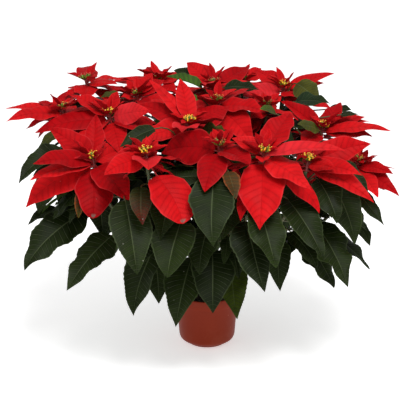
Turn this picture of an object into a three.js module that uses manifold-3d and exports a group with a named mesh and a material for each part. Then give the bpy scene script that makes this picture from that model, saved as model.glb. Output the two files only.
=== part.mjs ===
// A large red poinsettia on many branches, in a 13 cm nursery pot.
// Millimetres, +Z up. The origin is the middle of the pot's foot, where the pot stands; -Y is the front.
import * as THREE from "three";
import { mergeVertices } from "three/addons/utils/BufferGeometryUtils.js";
import Module from "manifold-3d";

const wasm = await Module();
wasm.setup();

// ---------------------------------------------------------------- sizes

// The pot: a rim band over a tapered body, a rounded lower edge and a low flat foot.
const RIM_R = 65;
const POT_H = 110;
const BAND_Z = 90;
const BODY_TOP_R = 62.6;
const BODY_LOW_R = 57;
const BODY_LOW_Z = 19;
const FOOT_R = 42;
const FOOT_H = 4;
const WALL = 2;
const FLOOR_Z = 7;
const POT_SIDES = 28;
const DRAIN_R = 4;
const DRAIN_CIRCLE_R = 27;
const DRAINS = 4;

const GAP = 0.3; // between pieces that touch
const GRIDS = [0.002, 0.003, 0.005, 0.007, 0.011, 0.017]; // the plant's corners lie on one of these
const SOIL_TOP_Z = 96;
const SOIL_DEPTH_Z = FLOOR_Z + GAP;
const SOIL_SIDES = 18;
const TRUNK_R = 9;
const TRUNK_TOP_R = 6.5;
const TRUNK_SIDES = 10;
const TRUNK_FOOT_Z = 50;
const TRUNK_TOP_Z = 236;

// Branches: they leave the trunk between these heights and thin towards their heads.
const BRANCH_LOW_Z = 108;
const BRANCH_HIGH_Z = 226;
const BRANCH_R = 3.8;
const BRANCH_TIP_R = 3.2;

// Heads: a short end of stem that carries the bracts, with the cyathia on it.
const CORE_R = 4;
const CORE_H = 24;
const CORE_TOP = -1.5; // below the cyathia's seat
const ROOT_IN = 2; // how deep a bract's stalk is sunk in its head
const STALK = 8; // of a bract
const LONGEST_STALK = 125; // of a leaf
const MOST_LEAVES = 8; // added down the branch of the furthest head
const FEWEST_LEAVES = 1; // and of one over the pot's rim
const SIDE = 335; // how far to either side an added leaf may reach
const GOLDEN = 137.5;
const NEIGHBOUR = 27; // degrees between an added bract and those of its head
const CUP_H = 7;
const CUP_R = 2.6;

// Blades: bracts and leaves, thickest along the midrib.
const BRACT_T = 1.6;
const LEAF_T = 1.7;
const BRACT_FOLD = 14;
const LEAF_FOLD = 12;
const LEAF_BEND = 20;
const STEPS = 24;
const SMALL = 43; // bracts narrower than this are flat, with their rib below
const STALK_R = 1.5;
const CLEAR = 0.5; // kept free round a blade, on each side

// Half widths along a blade, as [place in 24ths, share of the half width].
const BRACT_OUTLINE = [[3, 0.74], [8, 1], [14, 0.83], [20, 0.36]];
const STALKED_BRACT_OUTLINE = [[0, 0.12], [2, 0.72], [7, 1], [14, 0.88], [20, 0.5]];
const SMALL_BRACT_OUTLINE = [[3, 0.72], [9, 1], [17, 0.62]];
const LEAF_OUTLINE = [[0, 0.12], [3, 0.66], [7, 1], [14, 0.84], [19, 0.42]];
const PLAIN_LEAF_OUTLINE = [[3, 0.62], [8, 1], [11, 0.82]];

// ---------------------------------------------------------------- heads

// Where the cyathia of each head sit: name, x, y, z, cups in the cluster, bracts in all and the
// length of those that are not listed below.
const HEADS = [
  ["A", -220, -110, 428, 4, 10, 85],
  ["B", -116, -190, 462, 4, 10, 80],
  ["C", 22, -150, 466, 4, 10, 85],
  ["D", 106, -180, 462, 4, 10, 85],
  ["E", 192, -130, 430, 4, 9, 85],
  ["F", 230, 20, 452, 4, 11, 95],
  ["G", 160, 190, 492, 4, 12, 100],
  ["H", 20, 60, 496, 3, 11, 90],
  ["I", 14, 170, 504, 3, 10, 90],
  ["J", -34, -40, 480, 4, 11, 90],
  ["K", -194, 20, 480, 4, 11, 90],
  ["L", -252, 190, 508, 3, 11, 100],
  ["M", -144, 110, 496, 3, 10, 85],
  ["O", 120, 60, 488, 3, 9, 80],
  ["P", 300, -10, 390, 3, 9, 80],
  ["Q", -290, 50, 482, 3, 9, 90],
  ["S", -102, 240, 494, 3, 12, 95],
  ["T", 78, 284, 482, 3, 11, 100],
];

// Bracts of each head: azimuth, pitch, length, width, roll and, for a longer stalk, its length.
// Azimuth 0 is +X and 90 is +Y, pitch is up.
const BRACTS = {
  D: [
    [265, -30, 140, 94, 0],
    [317, -12, 118, 64, 15],
    [336, -19, 142, 54, 20],
    [346, 16, 150, 42, 22],
    [54, 48, 96, 60, 5],
    [160, 22, 62, 46, -20],
    [30, 40, 50, 20, 0],
    [265, 10, 35, 30, 0],
  ],
  C: [
    [150, 0, 125, 72, -60],
    [255, -10, 110, 60, 0],
    [310, 0, 80, 52, 15],
    [245, -10, 60, 36, -15],
    [55, 35, 45, 30, 0],
  ],
  A: [
    [195, -15, 150, 64, -45],
    [88, 46, 95, 40, 0],
    [148, 33, 106, 54, -40],
    [310, -10, 110, 66, 15],
    [270, -20, 110, 72, 0],
    [210, 10, 130, 50, -15],
    [215, 5, 130, 48, -35],
    [60, 10, 85, 56, 45],
    [210, 20, 40, 16, -40],
    [60, 30, 45, 22, 20],
  ],
  B: [
    [310, -30, 108, 92, 0, 36],
    [275, 10, 75, 64, 0],
    [225, 5, 100, 44, -45],
    [220, 20, 65, 52, -50],
    [60, 30, 40, 26, 10],
    [130, 35, 40, 26, -10],
  ],
  E: [
    [15, 20, 125, 58, 55],
    [325, 10, 115, 46, 30],
    [325, -5, 150, 46, 25],
    [315, 10, 75, 34, 35],
    [110, 40, 40, 24, 0],
  ],
  K: [
    [330, 22, 92, 46, 60],
    [183, 1, 148, 52, -35],
    [335, 2, 105, 50, 20],
    [285, -5, 85, 46, 10],
    [105, 30, 50, 34, -10],
    [75, 40, 55, 30, 10],
    [145, 20, 95, 44, -20],
  ],
  J: [
    [260, 10, 80, 62, 0],
    [210, 5, 110, 50, -30],
    [150, 19, 130, 42, -30],
    [35, 20, 90, 60, 30],
    [105, 45, 100, 42, 0],
    [140, 38, 122, 30, -15],
    [120, 40, 55, 24, 0],
  ],
  F: [
    [335, 15, 140, 36, 25],
    [145, 30, 100, 42, -25],
    [55, 45, 75, 40, 10],
    [20, 25, 90, 38, 25],
    [20, 15, 100, 32, 15],
    [330, 10, 100, 42, 25],
    [235, 5, 70, 46, -15],
  ],
  H: [
    [305, -10, 130, 62, 25],
    [325, 5, 110, 46, 25],
    [130, 10, 60, 46, -30],
    [50, 10, 60, 30, 20],
    [250, 5, 60, 40, -10],
  ],
  G: [
    [0, 25, 105, 42, 25],
    [210, 10, 90, 46, -35],
    [135, 25, 80, 44, -20],
    [165, 8, 125, 50, -15],
    [15, 15, 85, 30, 20],
    [295, 10, 50, 36, 0],
    [85, 40, 40, 26, 0],
    [110, 30, 35, 12, 40],
  ],
  I: [
    [135, 35, 80, 50, -20],
    [45, 20, 105, 50, 20],
    [135, 20, 55, 34, -30],
    [95, 45, 50, 30, 15],
    [300, 10, 70, 34, 20],
  ],
  P: [
    [315, -5, 110, 38, 30],
    [290, -10, 100, 40, 20],
    [320, 10, 80, 32, 30],
    [55, 30, 40, 20, 15],
    [45, 15, 45, 22, 20],
  ],
  Q: [
    [165, 10, 120, 38, -20],
    [210, 10, 120, 40, -25],
    [150, 20, 60, 28, -15],
    [125, 30, 40, 20, -5],
  ],
  L: [
    [325, 15, 75, 34, 20],
    [270, 0, 60, 54, 0],
    [60, 40, 45, 22, 0],
    [125, 30, 30, 14, 0],
    [230, 0, 60, 26, -10],
    [185, -30, 85, 40, 0],
    [155, -20, 85, 40, 0],
  ],
  M: [
    [40, 25, 70, 40, 20],
    [60, 45, 65, 46, 10],
    [300, 10, 50, 34, 10],
    [225, 20, 40, 26, -20],
    [130, 30, 35, 22, -10],
  ],
  O: [
    [235, 5, 50, 36, -20],
    [285, 5, 50, 34, 20],
    [45, 25, 40, 24, 10],
    [120, 20, 40, 26, -10],
  ],
  S: [
    [140, 0, 85, 54, -35],
    [115, 25, 60, 44, -20],
    [55, 20, 60, 44, 20],
    [310, 5, 50, 30, 20],
    [245, 5, 50, 34, -15],
  ],
  T: [
    [120, 20, 60, 40, -20],
    [50, 25, 60, 40, 20],
  ],
};

// Green leaves: x, y, z of the blade's base, azimuth, pitch, length, width, roll.
// Each grows from the nearest branch on a stalk of its own.
const LEAVES = [
  [-240, -70, 305, 220, -20, 175, 76, -35],
  [-185, -125, 275, 225, -25, 145, 70, -15],
  [-155, -195, 370, 285, -40, 150, 80, 0],
  [-110, -160, 335, 255, -35, 125, 76, 0],
  [-100, -130, 260, 240, -45, 150, 84, 0],
  [-50, -215, 335, 250, -40, 115, 86, 0],
  [-30, -140, 235, 250, -40, 145, 86, 0],
  [10, -205, 420, 270, -35, 145, 86, 0],
  [10, -150, 255, 270, -40, 130, 84, 0],
  [45, -110, 210, 280, -40, 115, 62, 0],
  [70, -185, 325, 290, -35, 150, 80, 0],
  [95, -215, 365, 290, -35, 130, 76, 0],
  [135, -120, 265, 275, -45, 105, 52, 0],
  [150, -185, 370, 310, -25, 140, 74, 10],
  [210, -110, 295, 300, -30, 150, 72, 15],
  [185, -70, 260, 315, -35, 130, 60, 10],
  [235, -100, 385, 300, -40, 145, 70, 20],
  [210, -140, 395, 300, -35, 100, 58, 15],
  [290, -20, 335, 315, -25, 100, 40, 15],
  [300, 0, 260, 310, -35, 60, 30, 10],
  [-290, -30, 425, 225, -15, 120, 44, -30],
  [-290, -10, 395, 215, -10, 70, 30, -20],
  [-300, -20, 295, 210, -10, 70, 30, -25],
  [-285, 0, 465, 205, -5, 95, 34, -15],
  [320, 10, 350, 315, -10, 50, 22, 15],
  [38, -205, 430, 285, -40, 65, 34, 0],
  [-125, -205, 400, 275, -35, 80, 44, 0],
  [-235, -150, 380, 245, -35, 80, 34, -20],
  [0, -165, 310, 255, -45, 100, 60, 0],
  [40, -150, 285, 255, -45, 60, 26, 0],
  [-20, 205, 505, 170, 45, 65, 38, -30],
  [-10, 125, 505, 190, 30, 80, 34, -30],
  [-15, 40, 505, 200, 15, 35, 18, -30],
  [35, 130, 505, 345, 25, 85, 44, 25],
  [185, 150, 505, 315, -10, 75, 50, 35],
  [180, 110, 480, 330, 15, 80, 44, 30],
  [135, 0, 485, 205, 30, 40, 24, -30],
  [220, -10, 455, 210, 30, 55, 34, -35],
  [-10, -60, 470, 335, -5, 60, 38, 30],
  [-100, -125, 490, 210, 0, 80, 36, -35],
  [245, 60, 475, 335, 15, 50, 26, 25],
  [-180, 120, 495, 195, 0, 40, 20, -20],
  [265, 40, 475, 325, 15, 50, 24, 20],
  [-215, -60, 375, 305, -40, 120, 70, 0],
  [-65, -160, 385, 255, -30, 120, 70, 0],
  [55, -120, 365, 275, -45, 120, 70, 0],
  [160, -120, 405, 280, -45, 130, 72, 5],
  [-295, 20, 375, 245, -30, 120, 60, -20],
  [285, 30, 380, 320, -45, 120, 60, 20],
  [258, -140, 430, 335, -42, 85, 34, 10],
];

// ---------------------------------------------------------------- small helpers

const rad = THREE.MathUtils.degToRad;
const vec = (x, y, z) => new THREE.Vector3(x, y, z);

// A repeatable draw between 0 and 1.
let drawn = 2023;
function draw() {
  drawn = (drawn * 1664525 + 1013904223) % 4294967296;
  return drawn / 4294967296;
}

/** A closed geometry as a solid. */
function solidOf(geometry) {
  geometry.deleteAttribute("normal");
  geometry.deleteAttribute("uv");
  const merged = mergeVertices(geometry, 1e-3);
  return new wasm.Manifold(
    new wasm.Mesh({
      numProp: 3,
      vertProperties: new Float32Array(merged.attributes.position.array),
      triVerts: new Uint32Array(merged.index.array),
    }),
  );
}

/** A solid from its corners and its triangles. */
function solidFrom(corners, triangles) {
  const geometry = new THREE.BufferGeometry().setFromPoints(corners);
  geometry.setIndex(triangles.flat());
  return solidOf(geometry);
}

/** The solid's largest body: scraps fall away and hollows inside it close. */
function oneBody(solid) {
  const bodies = solid.decompose();
  return bodies.reduce((a, b) => (b.volume() > a.volume() ? b : a));
}

/** A solid turned about Z from a profile of [radius, z], from the axis and back to it. */
function lathe(profile, sides) {
  const points = profile.map(([r, z]) => new THREE.Vector2(r, z));
  return solidOf(new THREE.LatheGeometry(points, sides).rotateX(Math.PI / 2));
}

/** A rod along points, with a radius at each and, if given, the directions its two ends face. */
function rod(points, radii, sides, first, last) {
  const corners = [];
  const triangles = [];
  const u = vec(0.3, 1, 0.2);
  points.forEach((p, i) => {
    let along = points[Math.min(i + 1, points.length - 1)].clone();
    along.sub(points[Math.max(i - 1, 0)]).normalize();
    if (i === 0 && first) along = first.clone();
    if (i === points.length - 1 && last) along = last.clone();
    u.addScaledVector(along, -u.dot(along)).normalize();
    const w = along.clone().cross(u);
    for (let k = 0; k < sides; k++) {
      const a = (2 * Math.PI * k) / sides;
      const c = p.clone().addScaledVector(u, radii[i] * Math.cos(a));
      corners.push(c.addScaledVector(w, radii[i] * Math.sin(a)));
    }
  });
  for (let i = 0; i + 1 < points.length; i++) {
    for (let k = 0; k < sides; k++) {
      const a = i * sides + k;
      const b = i * sides + ((k + 1) % sides);
      triangles.push([a, b, b + sides], [a, b + sides, a + sides]);
    }
  }
  const end = (points.length - 1) * sides;
  for (let k = 1; k + 1 < sides; k++) {
    triangles.push([0, k + 1, k], [end, end + k, end + k + 1]);
  }
  return solidFrom(corners, triangles);
}

// ---------------------------------------------------------------- blades

/** The point and the directions (along, across, up) at every step of a blade's middle line. */
function bladeLine(blade) {
  const { root, az, pitch, bend, length, stalk, roll } = blade;
  const a = rad(az);
  const across = vec(-Math.sin(a), Math.cos(a), 0);
  const towards = (p) => vec(Math.cos(p) * Math.cos(a), Math.cos(p) * Math.sin(a), Math.sin(p));
  const at = root.clone().addScaledVector(towards(rad(pitch)), stalk);
  const line = [];
  for (let i = 0; i <= STEPS; i++) {
    const along = towards(rad(pitch - (bend * i) / STEPS));
    const up = along.clone().cross(across);
    const c = Math.cos(rad(roll));
    const s = Math.sin(rad(roll));
    line.push({
      at: at.clone(),
      across: across.clone().multiplyScalar(c).addScaledVector(up, s),
      up: up.multiplyScalar(c).addScaledVector(across, -s),
    });
    at.addScaledVector(towards(rad(pitch - (bend * (i + 0.5)) / STEPS)), length / STEPS);
  }
  return line;
}

/**
 * A blade on its stalk, or only the free blade without it: a ring of corners at each place and a
 * point at the tip. A folded blade has a rib above and below, a flat one only below.
 */
function bladeSolid(blade, more = 0, free = false) {
  const { width, fold, thick, outline, foot } = blade;
  const line = bladeLine(blade);
  const corners = [];
  const n = fold ? 4 : 3;
  const ring = (at, { across, up }, half, t) => {
    const out = across.clone().multiplyScalar(half * Math.cos(rad(fold)));
    const rise = up.clone().multiplyScalar(half * Math.sin(rad(fold)));
    const rib = up.clone().multiplyScalar(fold ? t / 2 : t);
    corners.push(at.clone().add(rise).add(out), at.clone().sub(rib), at.clone().add(rise).sub(out));
    if (fold) corners.push(at.clone().add(rib));
    else corners.slice(-3).forEach((c) => c.addScaledVector(up, more));
  };
  const least = STALK_R + more;
  if (!free) ring(foot, line[0], least, thick + 2 * more);
  for (const [i, share] of outline) {
    ring(line[i].at, line[i], Math.max(least, (share * width) / 2 + more), thick + 2 * more);
  }
  const rings = corners.length / n;
  corners.push(line[STEPS].at.clone());
  const triangles = n === 4 ? [[0, 1, 2], [0, 2, 3]] : [[0, 1, 2]];
  for (let r = 0; r + 1 < rings; r++) {
    for (let k = 0; k < n; k++) {
      const a = n * r + k;
      const b = n * r + ((k + 1) % n);
      // the same split on the upper and the lower face
      if (k % 2 === 0) triangles.push([a, a + n, b + n], [a, b + n, b]);
      else triangles.push([a, a + n, b], [b, a + n, b + n]);
    }
  }
  const tip = corners.length - 1;
  for (let k = 0; k < n; k++) {
    triangles.push([n * (rings - 1) + k, tip, n * (rings - 1) + ((k + 1) % n)]);
  }
  return solidFrom(corners, triangles);
}

// ---------------------------------------------------------------- the pot

const potProfile = [
  [0, 0],
  [FOOT_R - 0.5, 0],
  [FOOT_R, FOOT_H],
  [46.5, FOOT_H + 0.4],
  [50.8, 6.3],
  [54.2, 10],
  [BODY_LOW_R - 1, 14.5],
  [BODY_LOW_R, BODY_LOW_Z],
  [BODY_TOP_R, BAND_Z],
  [RIM_R - 0.9, BAND_Z + 0.3],
  [RIM_R - 0.4, BAND_Z + 1.4],
  [RIM_R, POT_H - 1.2],
  [RIM_R - 0.9, POT_H],
  [RIM_R - 2.4, POT_H],
  [RIM_R - 3, POT_H - 1.2],
  [BODY_TOP_R - WALL, BAND_Z],
  [BODY_LOW_R - WALL, BODY_LOW_Z],
  [50.5, 10.5],
  [45, FLOOR_Z],
  [0, FLOOR_Z],
];
let pot = lathe(potProfile, POT_SIDES);
for (let i = 0; i < DRAINS; i++) {
  const a = rad((i * 360) / DRAINS + 30);
  const hole = new THREE.CylinderGeometry(DRAIN_R, DRAIN_R, FLOOR_Z + 4, 8);
  hole.rotateX(Math.PI / 2);
  hole.translate(DRAIN_CIRCLE_R * Math.cos(a), DRAIN_CIRCLE_R * Math.sin(a), FLOOR_Z / 2);
  pot = pot.subtract(solidOf(hole));
}

// The soil: a lumpy top, sides a gap inside the pot's wall, and a plain hole for the trunk.
const inside = (r) => (r - WALL) * Math.cos(Math.PI / POT_SIDES) - GAP;
const soilProfile = [
  [0, SOIL_DEPTH_Z],
  [44.5, SOIL_DEPTH_Z],
  [50, 10.9],
  [inside(BODY_LOW_R), BODY_LOW_Z],
  [inside(BODY_TOP_R), BAND_Z],
  [inside(BODY_TOP_R), SOIL_TOP_Z - 3],
  [42, SOIL_TOP_Z],
  [22, SOIL_TOP_Z],
  [0, SOIL_TOP_Z],
];
const soilShape = new THREE.LatheGeometry(
  soilProfile.map(([r, z]) => new THREE.Vector2(r, z)),
  SOIL_SIDES,
).rotateX(Math.PI / 2);
soilShape.deleteAttribute("normal");
soilShape.deleteAttribute("uv");
const soilMesh = mergeVertices(soilShape, 1e-3);
const soilAt = soilMesh.attributes.position;
for (let i = 0; i < soilAt.count; i++) {
  const r = Math.hypot(soilAt.getX(i), soilAt.getY(i));
  const lump = 1.6 * Math.sin(soilAt.getX(i) * 0.37) * Math.cos(soilAt.getY(i) * 0.29);
  if (soilAt.getZ(i) > BAND_Z + 1 && r > 15) soilAt.setZ(i, soilAt.getZ(i) + lump);
}
const soilHole = lathe(
  [
    [0, TRUNK_FOOT_Z - GAP],
    [TRUNK_R + 0.6, TRUNK_FOOT_Z - GAP],
    [TRUNK_R + 0.6, SOIL_TOP_Z + 9],
    [0, SOIL_TOP_Z + 9],
  ],
  12,
);
const soil = solidOf(soilMesh).subtract(soilHole);

// The trunk: woody, with a pinched top.
const trunkPoints = [TRUNK_FOOT_Z, 100, 150, 200, TRUNK_TOP_Z - 4, TRUNK_TOP_Z];
const trunkRadius = (z) =>
  THREE.MathUtils.mapLinear(z, TRUNK_FOOT_Z, TRUNK_TOP_Z, TRUNK_R, TRUNK_TOP_R);
const trunk = rod(
  trunkPoints.map((z) => vec(0, 0, z)),
  trunkPoints.map((z) => (z === TRUNK_TOP_Z ? 4 : trunkRadius(z))),
  TRUNK_SIDES,
);

// ---------------------------------------------------------------- branches and heads

const heads = HEADS.map(([name, x, y, z, cups, count, spread]) => {
  const at = vec(x, y, z);
  const axis = vec(0.0009 * x, 0.0009 * y, 1).normalize();
  const rows = BRACTS[name];
  return { name, at, axis, cups, count, spread, rows, bracts: [], taken: new Set() };
});

/** A head's branch. */
function branch(head) {
  const points = head.line.filter((_, k) => k % 6 === 0);
  const radii = points.map((_, k) => THREE.MathUtils.lerp(BRANCH_R, BRANCH_TIP_R, k / 4));
  return rod(points, radii, 5, head.out, head.axis);
}

// Outer branches leave the trunk low and inner ones high.
const byReach = [...heads].sort((a, b) => Math.hypot(b.at.x, b.at.y) - Math.hypot(a.at.x, a.at.y));
byReach.forEach((head, i) => {
  const z0 = THREE.MathUtils.mapLinear(i, 0, heads.length - 1, BRANCH_LOW_Z, BRANCH_HIGH_Z);
  head.out = vec(head.at.x, head.at.y, 0).normalize();
  const reach = Math.hypot(head.at.x, head.at.y);
  const end = head.at.clone().addScaledVector(head.axis, -CORE_H - GAP);
  const rise = end.z - z0;
  const curve = new THREE.CubicBezierCurve3(
    head.out.clone().multiplyScalar(trunkRadius(z0) + GAP).setZ(z0),
    head.out.clone().multiplyScalar(0.42 * reach).setZ(z0 + 0.22 * rise),
    vec(0.93 * end.x, 0.93 * end.y, end.z - 0.42 * rise),
    end,
  );
  head.line = curve.getPoints(STEPS);
});

/** A cluster of cups that stand on a small seat and lean apart. */
function cyathia(head, turn) {
  const foot = head.at.clone().addScaledVector(head.axis, CORE_TOP + GAP);
  const top = foot.clone().addScaledVector(head.axis, 2.6);
  let cluster = rod([foot, top], [CORE_R - 0.4, CORE_R + 2.6], 5);
  for (let k = 0; k < head.cups; k++) {
    const a = rad(turn + (k * 360) / (head.cups - 1));
    const out = k === head.cups - 1 ? 0 : 1;
    const base = top.clone().add(vec(3.6 * out * Math.cos(a), 3.6 * out * Math.sin(a), -1));
    const lean = vec(0.55 * out * Math.cos(a), 0.55 * out * Math.sin(a), 1).normalize();
    const rim = base.clone().addScaledVector(lean, CUP_H + 1.5 * (1 - out));
    cluster = cluster.add(rod([base, rim], [1.3, CUP_R], 4));
  }
  return oneBody(cluster);
}

// ---------------------------------------------------------------- placing blades clear of each other

const boxOf = (solid) => {
  const b = solid.boundingBox();
  return new THREE.Box3(vec(...b.min), vec(...b.max));
};

// Every solid placed so far: its node, its box and, for a blade, the part of it past its stalk.
const placed = [];
function place(node, solid, free) {
  placed.push({ node, solid, free, box: boxOf(solid) });
  return solid;
}

/** Whether a blade keeps off other nodes, and meets no other blade of its own but at their stalks. */
function isClear(node, solid, free) {
  const box = boxOf(solid);
  const meets = (a, b) => a.intersect(b).volume() > 0;
  return placed.every((other) => {
    if (!other.box.intersectsBox(box)) return true;
    if (other.node !== node) return !meets(other.solid, solid);
    return !other.free || !(meets(other.free, solid) || meets(other.solid, free));
  });
}

// How a blade may give way, nearest to its own place first: pitch, azimuth, share of its length.
const WAYS = [];
for (const share of [1, 0.88, 0.76]) {
  for (const turn of [0, 7, 14, 21, 28]) {
    for (const [p, a] of [[1, 0], [-1, 0], [0, 1], [0, -1], [1, 1], [1, -1], [-1, 1], [-1, -1]]) {
      if (turn > 0 || (p === 1 && a === 0)) WAYS.push([p * turn, a * turn, share]);
    }
  }
}

/** The first way in which the blade is clear of what is placed, or nothing. */
function fit(node, blade) {
  for (const [dp, da, share] of WAYS) {
    const moved = {
      ...blade,
      pitch: blade.pitch + dp,
      az: blade.az + da,
      length: blade.length * share,
      width: blade.width * Math.sqrt(share),
    };
    if (isClear(node, bladeSolid(moved, CLEAR), bladeSolid(moved, CLEAR, true))) {
      return place(node, bladeSolid(moved), bladeSolid(moved, 0, true));
    }
  }
  return null;
}

/** The end of stem that carries a head's bracts. */
function core(head) {
  const foot = head.at.clone().addScaledVector(head.axis, -CORE_H);
  const top = head.at.clone().addScaledVector(head.axis, CORE_TOP);
  return rod([foot, top], [BRANCH_TIP_R, CORE_R], 5);
}

place("trunk", trunk);
heads.forEach((head, i) => {
  head.stem = place("stem_" + head.name, branch(head));
  head.cyathia = place("cyathia_" + head.name, cyathia(head, 40 * i));
  head.rosette = place("bracts_" + head.name, core(head));
});

// A bract that points up sits high on its head and is straight; a low one droops.
const bractBend = (pitch) => THREE.MathUtils.clamp(22 - 0.4 * pitch, 0, 30);
const bractDrop = (pitch) => 14 - 0.22 * pitch;

function addBract(head, row, flat) {
  const [az, pitch, length, width, roll, stalk = STALK] = row;
  const node = "bracts_" + head.name;
  const root = head.at.clone().addScaledVector(head.axis, -bractDrop(pitch));
  const sunk = vec(Math.cos(rad(az)), Math.sin(rad(az)), 0).multiplyScalar(CORE_R - ROOT_IN);
  const blade = fit(node, {
    root,
    foot: root.clone().add(sunk),
    az,
    pitch,
    bend: bractBend(pitch),
    length,
    width,
    roll,
    stalk,
    fold: flat ? 0 : BRACT_FOLD,
    thick: BRACT_T,
    outline: flat ? SMALL_BRACT_OUTLINE : stalk > STALK ? STALKED_BRACT_OUTLINE : BRACT_OUTLINE,
  });
  if (blade) {
    head.rosette = head.rosette.add(blade);
    head.bracts.push(row);
  }
}

// The listed bracts: the first of every head, then the second of every head, and so on.
const byName = Object.fromEntries(heads.map((head) => [head.name, head]));
const most = Math.max(...heads.map((head) => head.rows.length));
for (let k = 0; k < most; k++) {
  for (const name of Object.keys(BRACTS)) {
    const row = BRACTS[name][k];
    if (row) addBract(byName[name], row, row[3] < SMALL);
  }
}

/**
 * A leaf on a stalk from a branch near its base. The nearest places along the branches are tried
 * first, a few steps apart, up to a number of them.
 */
function addLeaf(row, flat, most) {
  const [x, y, z, az, pitch, length, width, roll] = row;
  const base = vec(x, y, z);
  const along = vec(Math.cos(rad(az)), Math.sin(rad(az)), Math.tan(rad(pitch))).normalize();
  const starts = [];
  for (const head of heads) {
    for (let k = 5; k < 23; k++) {
      const p = head.line[k];
      if (head.taken.has(k)) continue; // one leaf at each place of a branch
      const stalk = base.clone().sub(p);
      const length = stalk.length();
      const cost = length + 0.5 * Math.abs(p.z + 20 - z);
      // the stalk leaves the branch at a fair angle and runs on into the blade
      const onward = head.line[k + 1].clone().sub(head.line[k - 1]).normalize();
      const leaves = Math.abs(stalk.dot(onward)) < 0.85 * length;
      const good = leaves && stalk.dot(along) > 0.45 * length && length > 15 && length < LONGEST_STALK;
      if (good) starts.push({ head, k, p, cost });
    }
  }
  starts.sort((a, b) => a.cost - b.cost);
  const tried = [];
  for (const start of starts) {
    const { head, k, p } = start;
    if (tried.some((other) => other.head === head && Math.abs(other.k - k) < 3)) continue;
    if (tried.push(start) > most) return;
    const blade = fit("stem_" + head.name, {
      root: base,
      foot: p,
      az,
      pitch,
      bend: LEAF_BEND,
      length,
      width,
      roll,
      stalk: 0,
      fold: flat ? 0 : LEAF_FOLD,
      thick: LEAF_T,
      outline: flat ? PLAIN_LEAF_OUTLINE : LEAF_OUTLINE,
    });
    if (blade) {
      head.taken.add(k);
      head.stem = head.stem.add(blade);
      return;
    }
  }
}
for (const row of LEAVES) addLeaf(row, row[6] < SMALL, 10);

// Bracts on each head's bare side, round its stem by the golden angle. Those of the front heads
// lie to the back, under their neighbours.
const apart = (a, b) => Math.abs(((a - b + 540) % 360) - 180);
for (const head of heads) {
  const start = 360 * draw();
  const front = head.at.y < -100 ? 0.1 : head.at.y < 0 ? -0.4 : -0.8;
  for (let k = 0; k < 60 && head.bracts.length < head.count; k++) {
    const az = (start + GOLDEN * k) % 360;
    const length = head.spread * (0.85 + 0.3 * draw());
    const pitch = 14 * draw() - 4;
    const roll = 30 * draw() - 15;
    const taken = head.bracts.some((row) => apart(row[0], az) < NEIGHBOUR);
    if (!taken && Math.sin(rad(az)) > front) {
      addBract(head, [az, pitch, length, 0.46 * length, roll], true);
    }
  }
}

// Leaves down every branch, round it by the golden angle: flat near the top, hanging lower down.
// Outer branches have more light and more leaves. None points out of the front, where the listed
// leaves are.
const furthest = Math.hypot(byReach[0].at.x, byReach[0].at.y);
for (const head of heads) {
  const start = 360 * draw();
  const reach = Math.hypot(head.at.x, head.at.y);
  const count = THREE.MathUtils.mapLinear(reach, RIM_R, furthest, FEWEST_LEAVES, MOST_LEAVES);
  for (let k = 0; k < Math.round(count); k++) {
    const az = (start + GOLDEN * k) % 360;
    const from = head.line[22 - 2 * k];
    const stalk = 34 + 16 * draw();
    const x = from.x + stalk * Math.cos(rad(az));
    const y = from.y + stalk * Math.sin(rad(az));
    const length = 105 + 35 * draw();
    const tipX = x + length * Math.cos(rad(az));
    const tipY = y + length * Math.sin(rad(az));
    const row = [x, y, from.z + 2, az, 4 - 6 * k, length, 0.55 * length, 0];
    if (tipY > -120 && Math.abs(tipX) < SIDE && from.z > 190) addLeaf(row, true, 3);
  }
}

// ---------------------------------------------------------------- the part

const part = new THREE.Group();

/** A solid's surface as a geometry. */
function geometryOf(solid) {
  const mesh = solid.getMesh();
  const geometry = new THREE.BufferGeometry();
  geometry.setAttribute("position", new THREE.BufferAttribute(mesh.vertProperties, 3));
  geometry.setIndex(new THREE.BufferAttribute(mesh.triVerts, 1));
  return geometry;
}

/** Whether some edge of the solid is shared by more than two faces. */
function pinched(solid) {
  const { vertProperties: at, triVerts: tri } = solid.getMesh();
  const faces = {};
  for (let i = 0; i < tri.length; i++) {
    const next = i % 3 === 2 ? i - 2 : i + 1;
    const ends = [tri[i], tri[next]].map((v) => at.slice(3 * v, 3 * v + 3).join());
    const edge = ends.sort().join(" ");
    faces[edge] = (faces[edge] ?? 0) + 1;
  }
  return Object.values(faces).some((count) => count > 2);
}

/** The solid's one body with its corners on the finest grid that leaves no pinched edge. */
function tidied(solid) {
  for (const grid of GRIDS) {
    const geometry = geometryOf(oneBody(solid));
    const corners = geometry.attributes.position.array;
    corners.forEach((x, i) => {
      corners[i] = (Math.round(x / grid) + 0.25) * grid;
    });
    const body = oneBody(solidOf(geometry));
    if (!pinched(body)) return body;
  }
  throw new Error("every grid leaves a pinched edge");
}

function addMesh(name, solid, color, roughness) {
  const material = new THREE.MeshStandardMaterial({ color, roughness, metalness: 0 });
  const piece = new THREE.Mesh(geometryOf(solid), material);
  piece.name = name;
  part.add(piece);
}

addMesh("pot", pot, 0x7d3320, 0.55);
addMesh("soil", soil, 0x2a1c14, 0.95);
addMesh("trunk", trunk, 0x6b5638, 0.8);
for (const head of heads) {
  addMesh("stem_" + head.name, tidied(head.stem), 0x2f3d22, 0.55);
  addMesh("bracts_" + head.name, tidied(head.rosette), 0xc81e24, 0.5);
  addMesh("cyathia_" + head.name, tidied(head.cyathia), 0x8f9a2e, 0.5);
}

export default part;
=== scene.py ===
"""Dresses the potted poinsettia: fine bracts, leaves, flowers, stems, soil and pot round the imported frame.

The frame's bracts and leaves are found again by the rules that placed them, and keep their places. Smaller
ones are then put between them wherever they find room. Sizes are in millimetres until a mesh is made.
"""

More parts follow.
